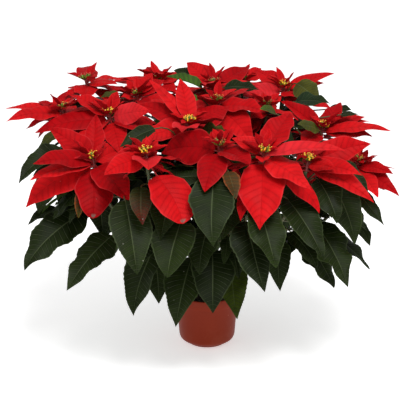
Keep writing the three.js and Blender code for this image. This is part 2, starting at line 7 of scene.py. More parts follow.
import math
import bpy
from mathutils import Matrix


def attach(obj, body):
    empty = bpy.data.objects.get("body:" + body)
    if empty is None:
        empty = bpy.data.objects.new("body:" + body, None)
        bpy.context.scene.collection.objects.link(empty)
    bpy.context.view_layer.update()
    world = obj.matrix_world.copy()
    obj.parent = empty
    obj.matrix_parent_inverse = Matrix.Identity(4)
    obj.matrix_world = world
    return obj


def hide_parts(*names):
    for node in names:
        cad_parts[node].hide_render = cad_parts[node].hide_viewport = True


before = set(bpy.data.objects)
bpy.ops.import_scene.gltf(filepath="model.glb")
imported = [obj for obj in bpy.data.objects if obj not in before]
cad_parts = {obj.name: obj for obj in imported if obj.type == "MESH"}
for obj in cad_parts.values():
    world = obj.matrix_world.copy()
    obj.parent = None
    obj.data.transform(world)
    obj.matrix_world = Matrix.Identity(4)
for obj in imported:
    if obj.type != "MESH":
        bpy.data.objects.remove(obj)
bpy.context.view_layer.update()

from copy import copy

import bpy
import numpy as np
from mathutils import Vector
from mathutils.bvhtree import BVHTree
from mathutils.kdtree import KDTree

MM = 0.001

# ---- sizes that the CAD has too

# The pot, its wall, floor and drain holes, and the soil in it.
RIM_R, POT_H, BAND_Z = 65, 110, 90
BODY_TOP_R, BODY_LOW_R, BODY_LOW_Z = 62.6, 57, 19
FOOT_R, FOOT_H = 42, 4
WALL, FLOOR_Z = 2, 7
DRAIN_R, DRAIN_CIRCLE_R, DRAINS = 4, 27, 4
GAP = 0.3  # between pieces that touch
SOIL_TOP_Z = 96

# The trunk, and the branches that leave it between two heights.
TRUNK_R, TRUNK_TOP_R = 9, 6.5
TRUNK_FOOT_Z, TRUNK_TOP_Z = 50, 236
BRANCH_LOW_Z, BRANCH_HIGH_Z = 108, 226
BRANCH_R, BRANCH_TIP_R = 3.8, 3.2
STEPS = 24  # along a branch, and along a blade
FIRST_BUD, LAST_BUD = 5, 22  # the steps of a branch that bear leaves

# The short stem that carries a head's bracts, and how the bracts sit on it.
CORE_R, CORE_H, CORE_TOP = 4, 24, -1.5
ROOT_IN = 2
STALK = 8
SEAT_DROP, SEAT_RISE = 14, 0.22  # a level bract's start below its head, and how pitch raises it
BRACT_BEND, STIFFENING, MOST_BEND = 22, 0.4, 30
NEIGHBOUR = 27  # degrees between an added bract and the others of its head
GOLDEN = 137.5

# Leaves.
STALK_R = 1.5
LEAF_BEND = 20
LONGEST_STALK, SHORTEST_STALK = 125, 15
MOST_LEAVES, FEWEST_LEAVES = 8, 1  # added down the branch of the furthest and the nearest head
SIDE = 335  # how far to either side an added leaf may reach

# Heads: x, y, z of the cyathia's seat, cups in the CAD, bracts in all, length of added bracts.
HEADS = {
    "A": (-220, -110, 428, 4, 10, 85),
    "B": (-116, -190, 462, 4, 10, 80),
    "C": (22, -150, 466, 4, 10, 85),
    "D": (106, -180, 462, 4, 10, 85),
    "E": (192, -130, 430, 4, 9, 85),
    "F": (230, 20, 452, 4, 11, 95),
    "G": (160, 190, 492, 4, 12, 100),
    "H": (20, 60, 496, 3, 11, 90),
    "I": (14, 170, 504, 3, 10, 90),
    "J": (-34, -40, 480, 4, 11, 90),
    "K": (-194, 20, 480, 4, 11, 90),
    "L": (-252, 190, 508, 3, 11, 100),
    "M": (-144, 110, 496, 3, 10, 85),
    "O": (120, 60, 488, 3, 9, 80),
    "P": (300, -10, 390, 3, 9, 80),
    "Q": (-290, 50, 482, 3, 9, 90),
    "S": (-102, 240, 494, 3, 12, 95),
    "T": (78, 284, 482, 3, 11, 100),
}

# Bracts of each head: azimuth, pitch, length, width, roll, and a long stalk where there is one.
BRACTS = {
    "D": [(265, -30, 140, 94, 0), (317, -12, 118, 64, 15), (336, -19, 142, 54, 20), (346, 16, 150, 42, 22),
          (54, 48, 96, 60, 5), (160, 22, 62, 46, -20), (30, 40, 50, 20, 0), (265, 10, 35, 30, 0)],
    "C": [(150, 0, 125, 72, -60), (255, -10, 110, 60, 0), (310, 0, 80, 52, 15), (245, -10, 60, 36, -15),
          (55, 35, 45, 30, 0)],
    "A": [(195, -15, 150, 64, -45), (88, 46, 95, 40, 0), (148, 33, 106, 54, -40), (310, -10, 110, 66, 15),
          (270, -20, 110, 72, 0), (210, 10, 130, 50, -15), (215, 5, 130, 48, -35), (60, 10, 85, 56, 45),
          (210, 20, 40, 16, -40), (60, 30, 45, 22, 20)],
    "B": [(310, -30, 108, 92, 0, 36), (275, 10, 75, 64, 0), (225, 5, 100, 44, -45), (220, 20, 65, 52, -50),
          (60, 30, 40, 26, 10), (130, 35, 40, 26, -10)],
    "E": [(15, 20, 125, 58, 55), (325, 10, 115, 46, 30), (325, -5, 150, 46, 25), (315, 10, 75, 34, 35),
          (110, 40, 40, 24, 0)],
    "K": [(330, 22, 92, 46, 60), (183, 1, 148, 52, -35), (335, 2, 105, 50, 20), (285, -5, 85, 46, 10),
          (105, 30, 50, 34, -10), (75, 40, 55, 30, 10), (145, 20, 95, 44, -20)],
    "J": [(260, 10, 80, 62, 0), (210, 5, 110, 50, -30), (150, 19, 130, 42, -30), (35, 20, 90, 60, 30),
          (105, 45, 100, 42, 0), (140, 38, 122, 30, -15), (120, 40, 55, 24, 0)],
    "F": [(335, 15, 140, 36, 25), (145, 30, 100, 42, -25), (55, 45, 75, 40, 10), (20, 25, 90, 38, 25),
          (20, 15, 100, 32, 15), (330, 10, 100, 42, 25), (235, 5, 70, 46, -15)],
    "H": [(305, -10, 130, 62, 25), (325, 5, 110, 46, 25), (130, 10, 60, 46, -30), (50, 10, 60, 30, 20),
          (250, 5, 60, 40, -10)],
    "G": [(0, 25, 105, 42, 25), (210, 10, 90, 46, -35), (135, 25, 80, 44, -20), (165, 8, 125, 50, -15),
          (15, 15, 85, 30, 20), (295, 10, 50, 36, 0), (85, 40, 40, 26, 0), (110, 30, 35, 12, 40)],
    "I": [(135, 35, 80, 50, -20), (45, 20, 105, 50, 20), (135, 20, 55, 34, -30), (95, 45, 50, 30, 15),
          (300, 10, 70, 34, 20)],
    "P": [(315, -5, 110, 38, 30), (290, -10, 100, 40, 20), (320, 10, 80, 32, 30), (55, 30, 40, 20, 15),
          (45, 15, 45, 22, 20)],
    "Q": [(165, 10, 120, 38, -20), (210, 10, 120, 40, -25), (150, 20, 60, 28, -15), (125, 30, 40, 20, -5)],
    "L": [(325, 15, 75, 34, 20), (270, 0, 60, 54, 0), (60, 40, 45, 22, 0), (125, 30, 30, 14, 0),
          (230, 0, 60, 26, -10), (185, -30, 85, 40, 0), (155, -20, 85, 40, 0)],
    "M": [(40, 25, 70, 40, 20), (60, 45, 65, 46, 10), (300, 10, 50, 34, 10), (225, 20, 40, 26, -20),
          (130, 30, 35, 22, -10)],
    "O": [(235, 5, 50, 36, -20), (285, 5, 50, 34, 20), (45, 25, 40, 24, 10), (120, 20, 40, 26, -10)],
    "S": [(140, 0, 85, 54, -35), (115, 25, 60, 44, -20), (55, 20, 60, 44, 20), (310, 5, 50, 30, 20),
          (245, 5, 50, 34, -15)],
    "T": [(120, 20, 60, 40, -20), (50, 25, 60, 40, 20)],
}

# Leaves: x, y, z of the blade's base, azimuth, pitch, length, width, roll.
LEAVES = [
    (-240, -70, 305, 220, -20, 175, 76, -35), (-185, -125, 275, 225, -25, 145, 70, -15),
    (-155, -195, 370, 285, -40, 150, 80, 0), (-110, -160, 335, 255, -35, 125, 76, 0),
    (-100, -130, 260, 240, -45, 150, 84, 0), (-50, -215, 335, 250, -40, 115, 86, 0),
    (-30, -140, 235, 250, -40, 145, 86, 0), (10, -205, 420, 270, -35, 145, 86, 0),
    (10, -150, 255, 270, -40, 130, 84, 0), (45, -110, 210, 280, -40, 115, 62, 0),
    (70, -185, 325, 290, -35, 150, 80, 0), (95, -215, 365, 290, -35, 130, 76, 0),
    (135, -120, 265, 275, -45, 105, 52, 0), (150, -185, 370, 310, -25, 140, 74, 10),
    (210, -110, 295, 300, -30, 150, 72, 15), (185, -70, 260, 315, -35, 130, 60, 10),
    (235, -100, 385, 300, -40, 145, 70, 20), (210, -140, 395, 300, -35, 100, 58, 15),
    (290, -20, 335, 315, -25, 100, 40, 15), (300, 0, 260, 310, -35, 60, 30, 10),
    (-290, -30, 425, 225, -15, 120, 44, -30), (-290, -10, 395, 215, -10, 70, 30, -20),
    (-300, -20, 295, 210, -10, 70, 30, -25), (-285, 0, 465, 205, -5, 95, 34, -15),
    (320, 10, 350, 315, -10, 50, 22, 15), (38, -205, 430, 285, -40, 65, 34, 0),
    (-125, -205, 400, 275, -35, 80, 44, 0), (-235, -150, 380, 245, -35, 80, 34, -20),
    (0, -165, 310, 255, -45, 100, 60, 0), (40, -150, 285, 255, -45, 60, 26, 0),
    (-20, 205, 505, 170, 45, 65, 38, -30), (-10, 125, 505, 190, 30, 80, 34, -30),
    (-15, 40, 505, 200, 15, 35, 18, -30), (35, 130, 505, 345, 25, 85, 44, 25),
    (185, 150, 505, 315, -10, 75, 50, 35), (180, 110, 480, 330, 15, 80, 44, 30),
    (135, 0, 485, 205, 30, 40, 24, -30), (220, -10, 455, 210, 30, 55, 34, -35),
    (-10, -60, 470, 335, -5, 60, 38, 30), (-100, -125, 490, 210, 0, 80, 36, -35),
    (245, 60, 475, 335, 15, 50, 26, 25), (-180, 120, 495, 195, 0, 40, 20, -20),
    (265, 40, 475, 325, 15, 50, 24, 20), (-215, -60, 375, 305, -40, 120, 70, 0),
    (-65, -160, 385, 255, -30, 120, 70, 0), (55, -120, 365, 275, -45, 120, 70, 0),
    (160, -120, 405, 280, -45, 130, 72, 5), (-295, 20, 375, 245, -30, 120, 60, -20),
    (285, 30, 380, 320, -45, 120, 60, 20), (258, -140, 430, 335, -42, 85, 34, 10),
]

# Leaves in the shade that close the gaps between the listed ones: the same values as in LEAVES.
EXTRA_LEAVES = [
    (-225, -70, 350, 212, -22, 95, 54, 0), (-232, -60, 332, 215, -35, 90, 50, 0),
]

# Bracts that hang in the shade below the others: azimuth, pitch, length, width, roll.
HANGING = {"D": (240, -40, 115, 44, 0), "C": (285, -35, 80, 40, 0), "A": (330, -25, 80, 40, 20)}

# ---- sizes of the fine pieces

BLADE_T = 0.7
TIP_NEAR = 0.05  # how near a corner of the CAD has to be to a blade's tip
SPINE_STEPS = 60
STALK_STEPS = 8
LAST_T = 0.985  # the last place along a blade before its tip
LEAST_HALF = 0.8 * STALK_R  # of a blade's width
CREASE = 0.012  # how round the bottom of a blade's fold is
GROOVE_DEPTH, GROOVE_HALF = 0.5, 1.3  # along the midrib
RIB_HALF = 1.6  # below the midrib
FULL_RELIEF = 9  # the half width from which puffs and groove have their whole depth
CLUSTER_R = 13  # of a head's flowers
BELOW_HEAD = 25  # from a head down to the added leaves under it

# Tries at each head: small bracts round the flowers, bracts below, leaves down the branch, filling leaves.
INNER_BRACTS, LOWER_BRACTS, MORE_LEAVES, FILLING_LEAVES = 8, 12, 20, 60
SPIKE, SPIKE_BRACTS = "L", (2, 4)  # the head that is a twisted spike, with fewer of both

# ---- finding the frame's blades again


def unit(v):
    return v / np.linalg.norm(v)


def towards(az, pitch):
    """The direction with this azimuth and pitch, in degrees."""
    a, p = math.radians(az), math.radians(pitch)
    return np.array([math.cos(p) * math.cos(a), math.cos(p) * math.sin(a), math.sin(p)])


def remap(x, a, b, c, d):
    return c + (x - a) * (d - c) / (b - a)


def apart(a, b):
    """The angle between two azimuths."""
    return abs((a - b + 540) % 360 - 180)


class Draw:
    """The CAD's repeatable draw between 0 and 1."""

    FACTOR, STEP, SPAN = 1664525, 1013904223, 4294967296

    def __init__(self, seed):
        self.value = seed

    def __call__(self):
        self.value = (self.value * self.FACTOR + self.STEP) % self.SPAN
        return self.value / self.SPAN


class Node:
    """The corners of a CAD node, to look a blade's tip up in."""

    def __init__(self, name):
        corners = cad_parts[name].data.vertices
        self.tree = KDTree(len(corners))
        for i, corner in enumerate(corners):
            self.tree.insert(corner.co / MM, i)
        self.tree.balance()

    def has(self, point):
        return self.tree.find(point)[2] < TIP_NEAR


# How a blade gives way in the CAD where it would cross another, in this order: degrees up, degrees round
# and share of its size.
SIDEWAYS = ((1, 0), (-1, 0), (0, 1), (0, -1), (1, 1), (1, -1), (-1, 1), (-1, -1))
WAYS = []
for share in (1.0, 0.88, 0.76):
    WAYS.append((0, 0, share))
    WAYS += [(p * turn, a * turn, share) for turn in (7, 14, 21, 28) for p, a in SIDEWAYS]


class Blade:
    """One bract or leaf: where its stalk starts, where it points and its size."""

    def __init__(self, kind, root, foot, az, pitch, bend, length, width, roll, stalk, name=""):
        self.kind, self.root, self.foot = kind, np.array(root), np.array(foot)
        self.az, self.pitch, self.bend = az, pitch, bend
        self.length, self.width, self.roll, self.stalk = length, width, roll, stalk
        self.name = name

    def moved(self, way):
        up, around, share = way
        moved = copy(self)
        moved.az, moved.pitch = self.az + around, self.pitch + up
        moved.length, moved.width = self.length * share, self.width * math.sqrt(share)
        return moved

    def lift(self, step):
        """Moves the whole blade, with its foot."""
        self.root, self.foot = self.root + step, self.foot + step

    def base(self):
        return self.root + towards(self.az, self.pitch) * self.stalk

    def tip(self):
        p = np.radians(self.pitch - self.bend * (np.arange(STEPS) + 0.5) / STEPS)
        run = np.cos(p).sum() * self.length / STEPS
        rise = np.sin(p).sum() * self.length / STEPS
        a = math.radians(self.az)
        return self.base() + np.array([run * math.cos(a), run * math.sin(a), rise])

    def as_built(self, node):
        """The blade as it gave way in the CAD, or None if the node hasn't got it."""
        for way in WAYS:
            moved = self.moved(way)
            if node.has(moved.tip()):
                return moved
        return None


class Head:
    """One head of bracts, on its branch."""

    LEAN = 0.0009  # how a head's axis leans outwards for each mm from the plant's middle

    def __init__(self, name, row):
        x, y, z, self.cups, self.count, self.spread = row
        self.name = name
        self.at = np.array([x, y, z], float)
        self.axis = unit(np.array([self.LEAN * x, self.LEAN * y, 1]))
        self.bracts, self.leaves, self.rows, self.taken = [], [], [], set()
        self.small_bracts, self.small_leaves = [], []
        self.bract_node, self.stem_node = Node("bracts_" + name), Node("stem_" + name)

    def grow(self, leaves_trunk_at):
        """The branch's middle line, from the trunk at that height to the head: out first, then up."""
        reach = math.hypot(self.at[0], self.at[1])
        out = np.array([self.at[0], self.at[1], 0]) / reach
        end = self.at - self.axis * (CORE_H + GAP)
        rise = end[2] - leaves_trunk_at
        radius = remap(leaves_trunk_at, TRUNK_FOOT_Z, TRUNK_TOP_Z, TRUNK_R, TRUNK_TOP_R)
        up = np.array([0, 0, 1.0])
        controls = [
            out * (radius + GAP) + up * leaves_trunk_at,
            out * 0.42 * reach + up * (leaves_trunk_at + 0.22 * rise),
            np.array([0.93 * end[0], 0.93 * end[1], end[2] - 0.42 * rise]),
            end,
        ]
        self.line = bezier(controls, STEPS)

    def point(self, place):
        """The point at this step, or between two, of the branch."""
        return np.array([np.interp(place, range(STEPS + 1), self.line[:, i]) for i in range(3)])

    def least_back(self):
        """How far to the back an added bract has to point, as its azimuth's sine."""
        y = self.at[1]
        return 0.1 if y < -100 else -0.4 if y < 0 else -0.8

    def bract(self, az, pitch, length, width, roll, stalk=STALK, name=""):
        root = self.at - self.axis * (SEAT_DROP - SEAT_RISE * pitch)
        foot = root + towards(az, 0) * (CORE_R - ROOT_IN)
        bend = min(MOST_BEND, max(0, BRACT_BEND - STIFFENING * pitch))
        return Blade("bract", root, foot, az, pitch, bend, length, width, roll, stalk, name)

    def find_bract(self, row, name=""):
        found = self.bract(*row, name=name).as_built(self.bract_node)
        if found:
            self.bracts.append(found)
            self.rows.append(row)


def bezier(controls, steps):
    """The points of a cubic curve with these four controls."""
    t = np.linspace(0, 1, steps + 1)[:, None]
    shares = [(1 - t) ** 3, 3 * (1 - t) ** 2 * t, 3 * (1 - t) * t**2, t**3]
    return sum(share * control for share, control in zip(shares, controls))


def find_listed_bracts(heads):
    for name, rows in BRACTS.items():
        for i, row in enumerate(rows):
            heads[name].find_bract(row, f"{name}{i}")


def find_more_bracts(heads, draw):
    """The bracts that the CAD added round each head, on its bare side."""
    tries = 60
    for head in heads.values():
        start = 360 * draw()
        for k in range(tries):
            if len(head.rows) >= head.count:
                break
            az = (start + GOLDEN * k) % 360
            length = head.spread * (0.85 + 0.3 * draw())
            pitch = 14 * draw() - 4
            roll = 30 * draw() - 15
            near = any(apart(row[0], az) < NEIGHBOUR for row in head.rows)
            if not near and math.sin(math.radians(az)) > head.least_back():
                head.find_bract((az, pitch, length, 0.46 * length, roll))


def stalk_starts(heads, row, most):
    """The places along the branches from which a leaf's stalk may come, best first."""
    x, y, z, az, pitch = row[:5]
    base = np.array([x, y, z], float)
    a = math.radians(az)
    along = unit(np.array([math.cos(a), math.sin(a), math.tan(math.radians(pitch))]))
    starts = []
    for head in heads.values():
        for k in range(FIRST_BUD, LAST_BUD + 1):
            if k in head.taken:
                continue
            p = head.line[k]
            stalk = base - p
            length = np.linalg.norm(stalk)
            onward = unit(head.line[k + 1] - head.line[k - 1])
            leaves = abs(stalk @ onward) < 0.85 * length
            if leaves and stalk @ along > 0.45 * length and SHORTEST_STALK < length < LONGEST_STALK:
                starts.append((length + 0.5 * abs(p[2] + 20 - z), head, k))
    tried = []
    for _, head, k in sorted(starts, key=lambda start: start[0]):
        if len(tried) < most and all(other is not head or abs(j - k) >= 3 for other, j in tried):
            tried.append((head, k))
    return tried


def leaf_of(row, head, k):
    """The leaf of a row, with its stalk from a step of the head's branch."""
    base, (az, pitch, *size) = row[:3], row[3:]
    return Blade("leaf", base, head.line[k], az, pitch, LEAF_BEND, *size, stalk=0, name=leaf_name(row))


def leaf_name(row):
    """The name of a listed leaf, by its place in the list."""
    return f"leaf_{LEAVES.index(row)}" if row in LEAVES else ""


def find_leaf(heads, row, most):
    for head, k in stalk_starts(heads, row, most):
        found = leaf_of(row, head, k).as_built(head.stem_node)
        if found:
            head.taken.add(k)
            head.leaves.append(found)
            return found
    return None


def find_more_leaves(heads, draw):
    """The leaves that the CAD added down every branch, more of them further out."""
    reaches = [math.hypot(head.at[0], head.at[1]) for head in heads.values()]
    for head, reach in zip(heads.values(), reaches):
        start = 360 * draw()
        count = remap(reach, RIM_R, max(reaches), FEWEST_LEAVES, MOST_LEAVES)
        for k in range(math.floor(count + 0.5)):
            az = (start + GOLDEN * k) % 360
            base = head.line[LAST_BUD - 2 * k] + (34 + 16 * draw()) * towards(az, 0)
            length = 105 + 35 * draw()
            tip = base + length * towards(az, 0)
            if tip[1] > -120 and abs(tip[0]) < SIDE and base[2] > 190:
                x, y, z = base
                find_leaf(heads, (x, y, z + 2, az, 4 - 6 * k, length, 0.55 * length, 0), 3)


# ---- meshes


def add_object(name, data):
    obj = bpy.data.objects.new(name, data)
    bpy.context.scene.collection.objects.link(obj)
    return obj


class Mesh:
    """Corners, faces and their colours, gathered for one piece."""

    def __init__(self):
        self.corners, self.faces, self.blade, self.tint, self.material = [], [], [], [], []
        self.count = 0

    def add(self, corners, faces, tint, blade=(0, 0, 0), material=0):
        """Adds corners as an (n, 3) array and faces as lists of their indices.

        tint is the colour, and blade is where on a blade a corner lies: across, in side veins, upper side.
        """
        n = len(corners)
        self.corners.append(np.asarray(corners, float))
        self.faces.extend([[i + self.count for i in face] for face in faces])
        self.blade.append(np.broadcast_to(np.asarray(blade, float), (n, 3)))
        self.tint.append(np.broadcast_to(np.asarray(tint, float), (n, 3)))
        self.material.extend([material] * len(faces))
        self.count += n

    def piece(self, name, skins, sharp=50):
        data = bpy.data.meshes.new(name)
        data.from_pydata((np.vstack(self.corners) * MM).tolist(), [], self.faces)
        blade = data.attributes.new("blade", "FLOAT_VECTOR", "POINT")
        blade.data.foreach_set("vector", np.vstack(self.blade).astype(np.float32).ravel())
        tint = data.attributes.new("tint", "FLOAT_COLOR", "POINT")
        rgba = np.hstack([np.vstack(self.tint), np.ones((self.count, 1))])
        tint.data.foreach_set("color", rgba.astype(np.float32).ravel())
        for skin in skins:
            data.materials.append(skin)
        data.polygons.foreach_set("material_index", self.material)
        data.polygons.foreach_set("use_smooth", [True] * len(data.polygons))
        data.set_sharp_from_angle(angle=math.radians(sharp))
        data.validate()
        obj = add_object(name, data)
        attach(obj, "root")
        return obj


def tube(points, radii, sides=8):
    """Corners and faces of a closed tube along the points."""
    points = np.asarray(points, float)
    along = np.gradient(points, axis=0)
    along /= np.linalg.norm(along, axis=1)[:, None]
    u = np.array([0.3, 1.0, 0.2])  # turned square to the tube, step by step
    corners = []
    angles = np.arange(sides) * 2 * math.pi / sides
    for p, d, r in zip(points, along, radii):
        u = unit(u - d * (u @ d))
        w = np.cross(d, u)
        corners.append(p + r * (np.cos(angles)[:, None] * u + np.sin(angles)[:, None] * w))
    faces = []
    for i in range(len(points) - 1):
        for k in range(sides):
            a, b = i * sides + k, i * sides + (k + 1) % sides
            faces.append([a, b, b + sides, a + sides])
    last = (len(points) - 1) * sides
    faces.append(list(range(sides))[::-1])
    faces.append(list(range(last, last + sides)))
    return np.vstack(corners), faces


def turned(profile, sides):
    """Corners and faces of a closed solid turned about Z, from (r, z) on the axis back to the axis."""
    corners, rings = [], []
    angles = np.arange(sides) * 2 * math.pi / sides
    for r, z in profile:
        around = angles if r else angles[:1]
        rings.append(list(range(len(corners), len(corners) + len(around))))
        corners.extend([[r * math.cos(a), r * math.sin(a), z] for a in around])
    faces = []
    for a, b in zip(rings, rings[1:]):
        for k in range(sides):
            j = (k + 1) % sides
            face = [a[k % len(a)], a[j % len(a)], b[j % len(b)], b[k % len(b)]]
            faces.append(list(dict.fromkeys(face)))  # without the double corner on the axis
    return np.array(corners, float), faces


# ---- the form of a blade


def outline(look, t):
    """Share of the half width at t along the blade: round below and drawn out to a fine tip."""
    swell = np.sin(math.pi * np.clip(t, 0, 1) ** look["belly"])
    return np.maximum(swell, 0) ** look["round"] * (1 - look["drip"] * t**5)


def spine(blade, look):
    """The midrib's points and the blade's across and up directions along it, at even steps."""
    s = np.linspace(0, 1, SPINE_STEPS + 1)
    hook = look["hook"] * np.maximum(0, s - 0.7) ** 2 * 11  # grows from 0 at 0.7 to 1 at the tip
    pitch = np.radians(blade.pitch - blade.bend * s + look["arch"] * (0.5 - s) - hook)
    middle = (pitch[1:] + pitch[:-1]) / 2
    run = np.concatenate([[0], np.cumsum(np.cos(middle))]) * blade.length / SPINE_STEPS
    rise = np.concatenate([[0], np.cumsum(np.sin(middle))]) * blade.length / SPINE_STEPS
    sway = look["sway"] * blade.length * np.sin(math.pi * s) * s
    a = math.radians(blade.az)
    out, left = np.array([math.cos(a), math.sin(a), 0]), np.array([-math.sin(a), math.cos(a), 0])
    skyward = np.array([0, 0, 1.0])
    line = blade.base() + run[:, None] * out + sway[:, None] * left + rise[:, None] * skyward
    along = np.cos(pitch)[:, None] * out + np.sin(pitch)[:, None] * skyward
    up = np.cross(along, left)
    roll = np.radians(blade.roll + look["twist"] * s)[:, None]
    return s, line, left * np.cos(roll) + up * np.sin(roll), up * np.cos(roll) - left * np.sin(roll)


def surface(blade, look, r, u):
    """The blade's upper side over a grid, with the way up, its place t along the blade and half width.

    A row of the grid follows a side vein: it starts at r on the midrib and runs forward to the edge.
    """
    half = blade.width / 2
    r, u = np.asarray(r)[:, None], np.asarray(u)[None, :]
    au, side = np.abs(u), np.sign(u)
    lean = look["slant"] * au * half * outline(look, r) / blade.length
    t = np.clip(r + lean * np.minimum(1, 4 * r * (1 - r)), 0, LAST_T)
    body = np.sin(math.pi * t) ** 0.6  # fades the lobes, waves and cup out at both ends
    lobes = np.sin(2 * math.pi * (look["lobe_rate"] * t + look["phase"][0] + 0.3 * side))
    scallops = np.abs(np.sin(math.pi * look["veins"] * r))
    wide = half * outline(look, t) * (1 + (look["lobes"] * lobes + look["scallop"] * scallops) * body)
    wide = np.maximum(wide, LEAST_HALF)
    fold = math.radians(look["fold"])
    crease = np.sqrt(u**2 + CREASE) - math.sqrt(CREASE)  # a V with a rounded bottom
    height = wide * (math.sin(fold) * crease + look["cup"] * u**2 * body)
    phase = np.where(side > 0, look["phase"][1], look["phase"][2])
    waves = np.sin(2 * math.pi * (look["wave_rate"] * t + phase))
    height = height + half * look["wave"] * au**2 * waves * body
    full = np.minimum(1, wide / FULL_RELIEF)
    puff = scallops**0.7 * np.sin(math.pi * np.minimum(1, au)) ** 0.6
    groove = GROOVE_DEPTH * np.exp(-((u * wide / GROOVE_HALF) ** 2))
    height = height + full * (look["quilt"] * puff - groove)
    s, line, across, up = spine(blade, look)

    def at(table):
        return np.stack([np.interp(t, s, table[:, i]) for i in range(3)], axis=-1)

    way_up = at(up)
    x = wide * math.cos(fold) * u
    return at(line) + at(across) * x[..., None] + way_up * height[..., None], way_up, t, wide


def tints(look, t, u):
    """The upper side's colour over the grid."""
    share = np.clip(t, 0, 1)[..., None] ** 1.5
    tint = look["base"] * (1 - share) + look["tip"] * share
    if "edge" in look:
        tint = np.where(np.abs(u)[None, :, None] > 0.9, look["edge"], tint)
    if "spot" in look:
        tint = np.where(((t > 0.95) & (np.abs(u) < 0.4))[..., None], look["spot"], tint)
    return tint


def fine_blade(mesh, blade, look, each, cols):
    """A thin closed blade with each rows of faces for every side vein, thickest along its midrib."""
    rows = each * look["veins"]
    r = np.linspace(0, 1, rows + 1)[:-1]
    even = np.linspace(-1, 1, cols + 1)
    u = np.sign(even) * np.abs(even) ** 1.25
    top, way_up, t, wide = surface(blade, look, r, u)
    edge = (1 - u**2) ** 0.5 * np.minimum(1, (1 - r) * 6)[:, None]  # thin to the sides and to the tip
    rib = (1 - r)[:, None] * np.exp(-((u * wide / RIB_HALF) ** 2))
    low = top - way_up * (BLADE_T * edge + rib)[..., None]
    n = cols + 1
    tip_i = rows * n + rows * (cols - 1)
    tip = spine(blade, look)[1][-1][None]
    corners = np.vstack([top.reshape(-1, 3), low[:, 1:-1].reshape(-1, 3), tip])

    def under(i, j):
        """The lower side's corner, which is the upper side's own at both edges."""
        return i * n + j if j in (0, cols) else rows * n + i * (cols - 1) + j - 1

    faces = []
    for i in range(rows - 1):
        for j in range(cols):
            a, b = i * n + j, i * n + j + 1
            faces.append([a + n, b + n, b, a])
            faces.append([under(i, j), under(i, j + 1), under(i + 1, j + 1), under(i + 1, j)])
    for j in range(cols):
        faces.append([tip_i, (rows - 1) * n + j + 1, (rows - 1) * n + j])
        faces.append([under(rows - 1, j), under(rows - 1, j + 1), tip_i])
    faces.append([*range(n), *[under(0, j) for j in range(cols - 1, 0, -1)]])
    vein = np.broadcast_to((look["veins"] * r)[:, None], (rows, n))
    grid = np.stack([np.broadcast_to(u, (rows, n)), vein, np.ones((rows, n))], -1)
    below = grid[:, 1:-1] * (1, 1, 0)
    coords = np.vstack([grid.reshape(-1, 3), below.reshape(-1, 3), [[0, look["veins"], 1]]])
    tint = tints(look, t, u)
    paler = tint[:, 1:-1] * look["below"]
    tint = np.vstack([tint.reshape(-1, 3), paler.reshape(-1, 3), look["tip"][None]])
    mesh.add(corners, faces, tint, coords)


def stalk_line(blade):
    """A stalk that leaves its stem, sags a little and runs on into the blade's midrib."""
    base, foot = blade.base(), blade.foot
    onward = towards(blade.az, blade.pitch)
    reach = np.linalg.norm(base - foot)
    end = base + onward * 3
    sagging = foot + (base - foot) * 0.35 + np.array([0, 0, 0.06 * reach])
    return bezier([foot, sagging, end - onward * 0.35 * reach, end], STALK_STEPS)


def add_stalk(mesh, blade, tint):
    radii = STALK_R * np.linspace(1.25, 0.85, STALK_STEPS + 1)
    mesh.add(*tube(stalk_line(blade), radii, 6), tint, material=1)


# ---- colours and habits of blades

RED, BRIGHT_RED = np.array([0.42, 0.003, 0.005]), np.array([0.50, 0.006, 0.008])
# The pink red is painted sheen: the paler, pinker red of bract faces that catch the light.
DEEP_RED, PINK_SHEEN_RED = np.array([0.29, 0.001, 0.003]), np.array([0.55, 0.018, 0.024])
GREEN, DEEP_GREEN = np.array([0.0105, 0.0175, 0.0026]), np.array([0.006, 0.0105, 0.0017])
BLUE_GREEN, FRESH_GREEN = np.array([0.008, 0.018, 0.007]), np.array([0.038, 0.085, 0.010])
YELLOW_GREEN, OLIVE = np.array([0.030, 0.045, 0.004]), np.array([0.045, 0.047, 0.006])
BROWN, MAROON = np.array([0.055, 0.026, 0.007]), np.array([0.07, 0.006, 0.005])
ORANGE, GREY = np.array([0.22, 0.035, 0.006]), np.array([0.16, 0.11, 0.09])
BLUNT = dict(belly=0.85, round=0.58, drip=0.05)


def all_in(colour, **habits):
    """A look with one colour from base to tip."""
    return dict(base=colour, tip=colour, **habits)
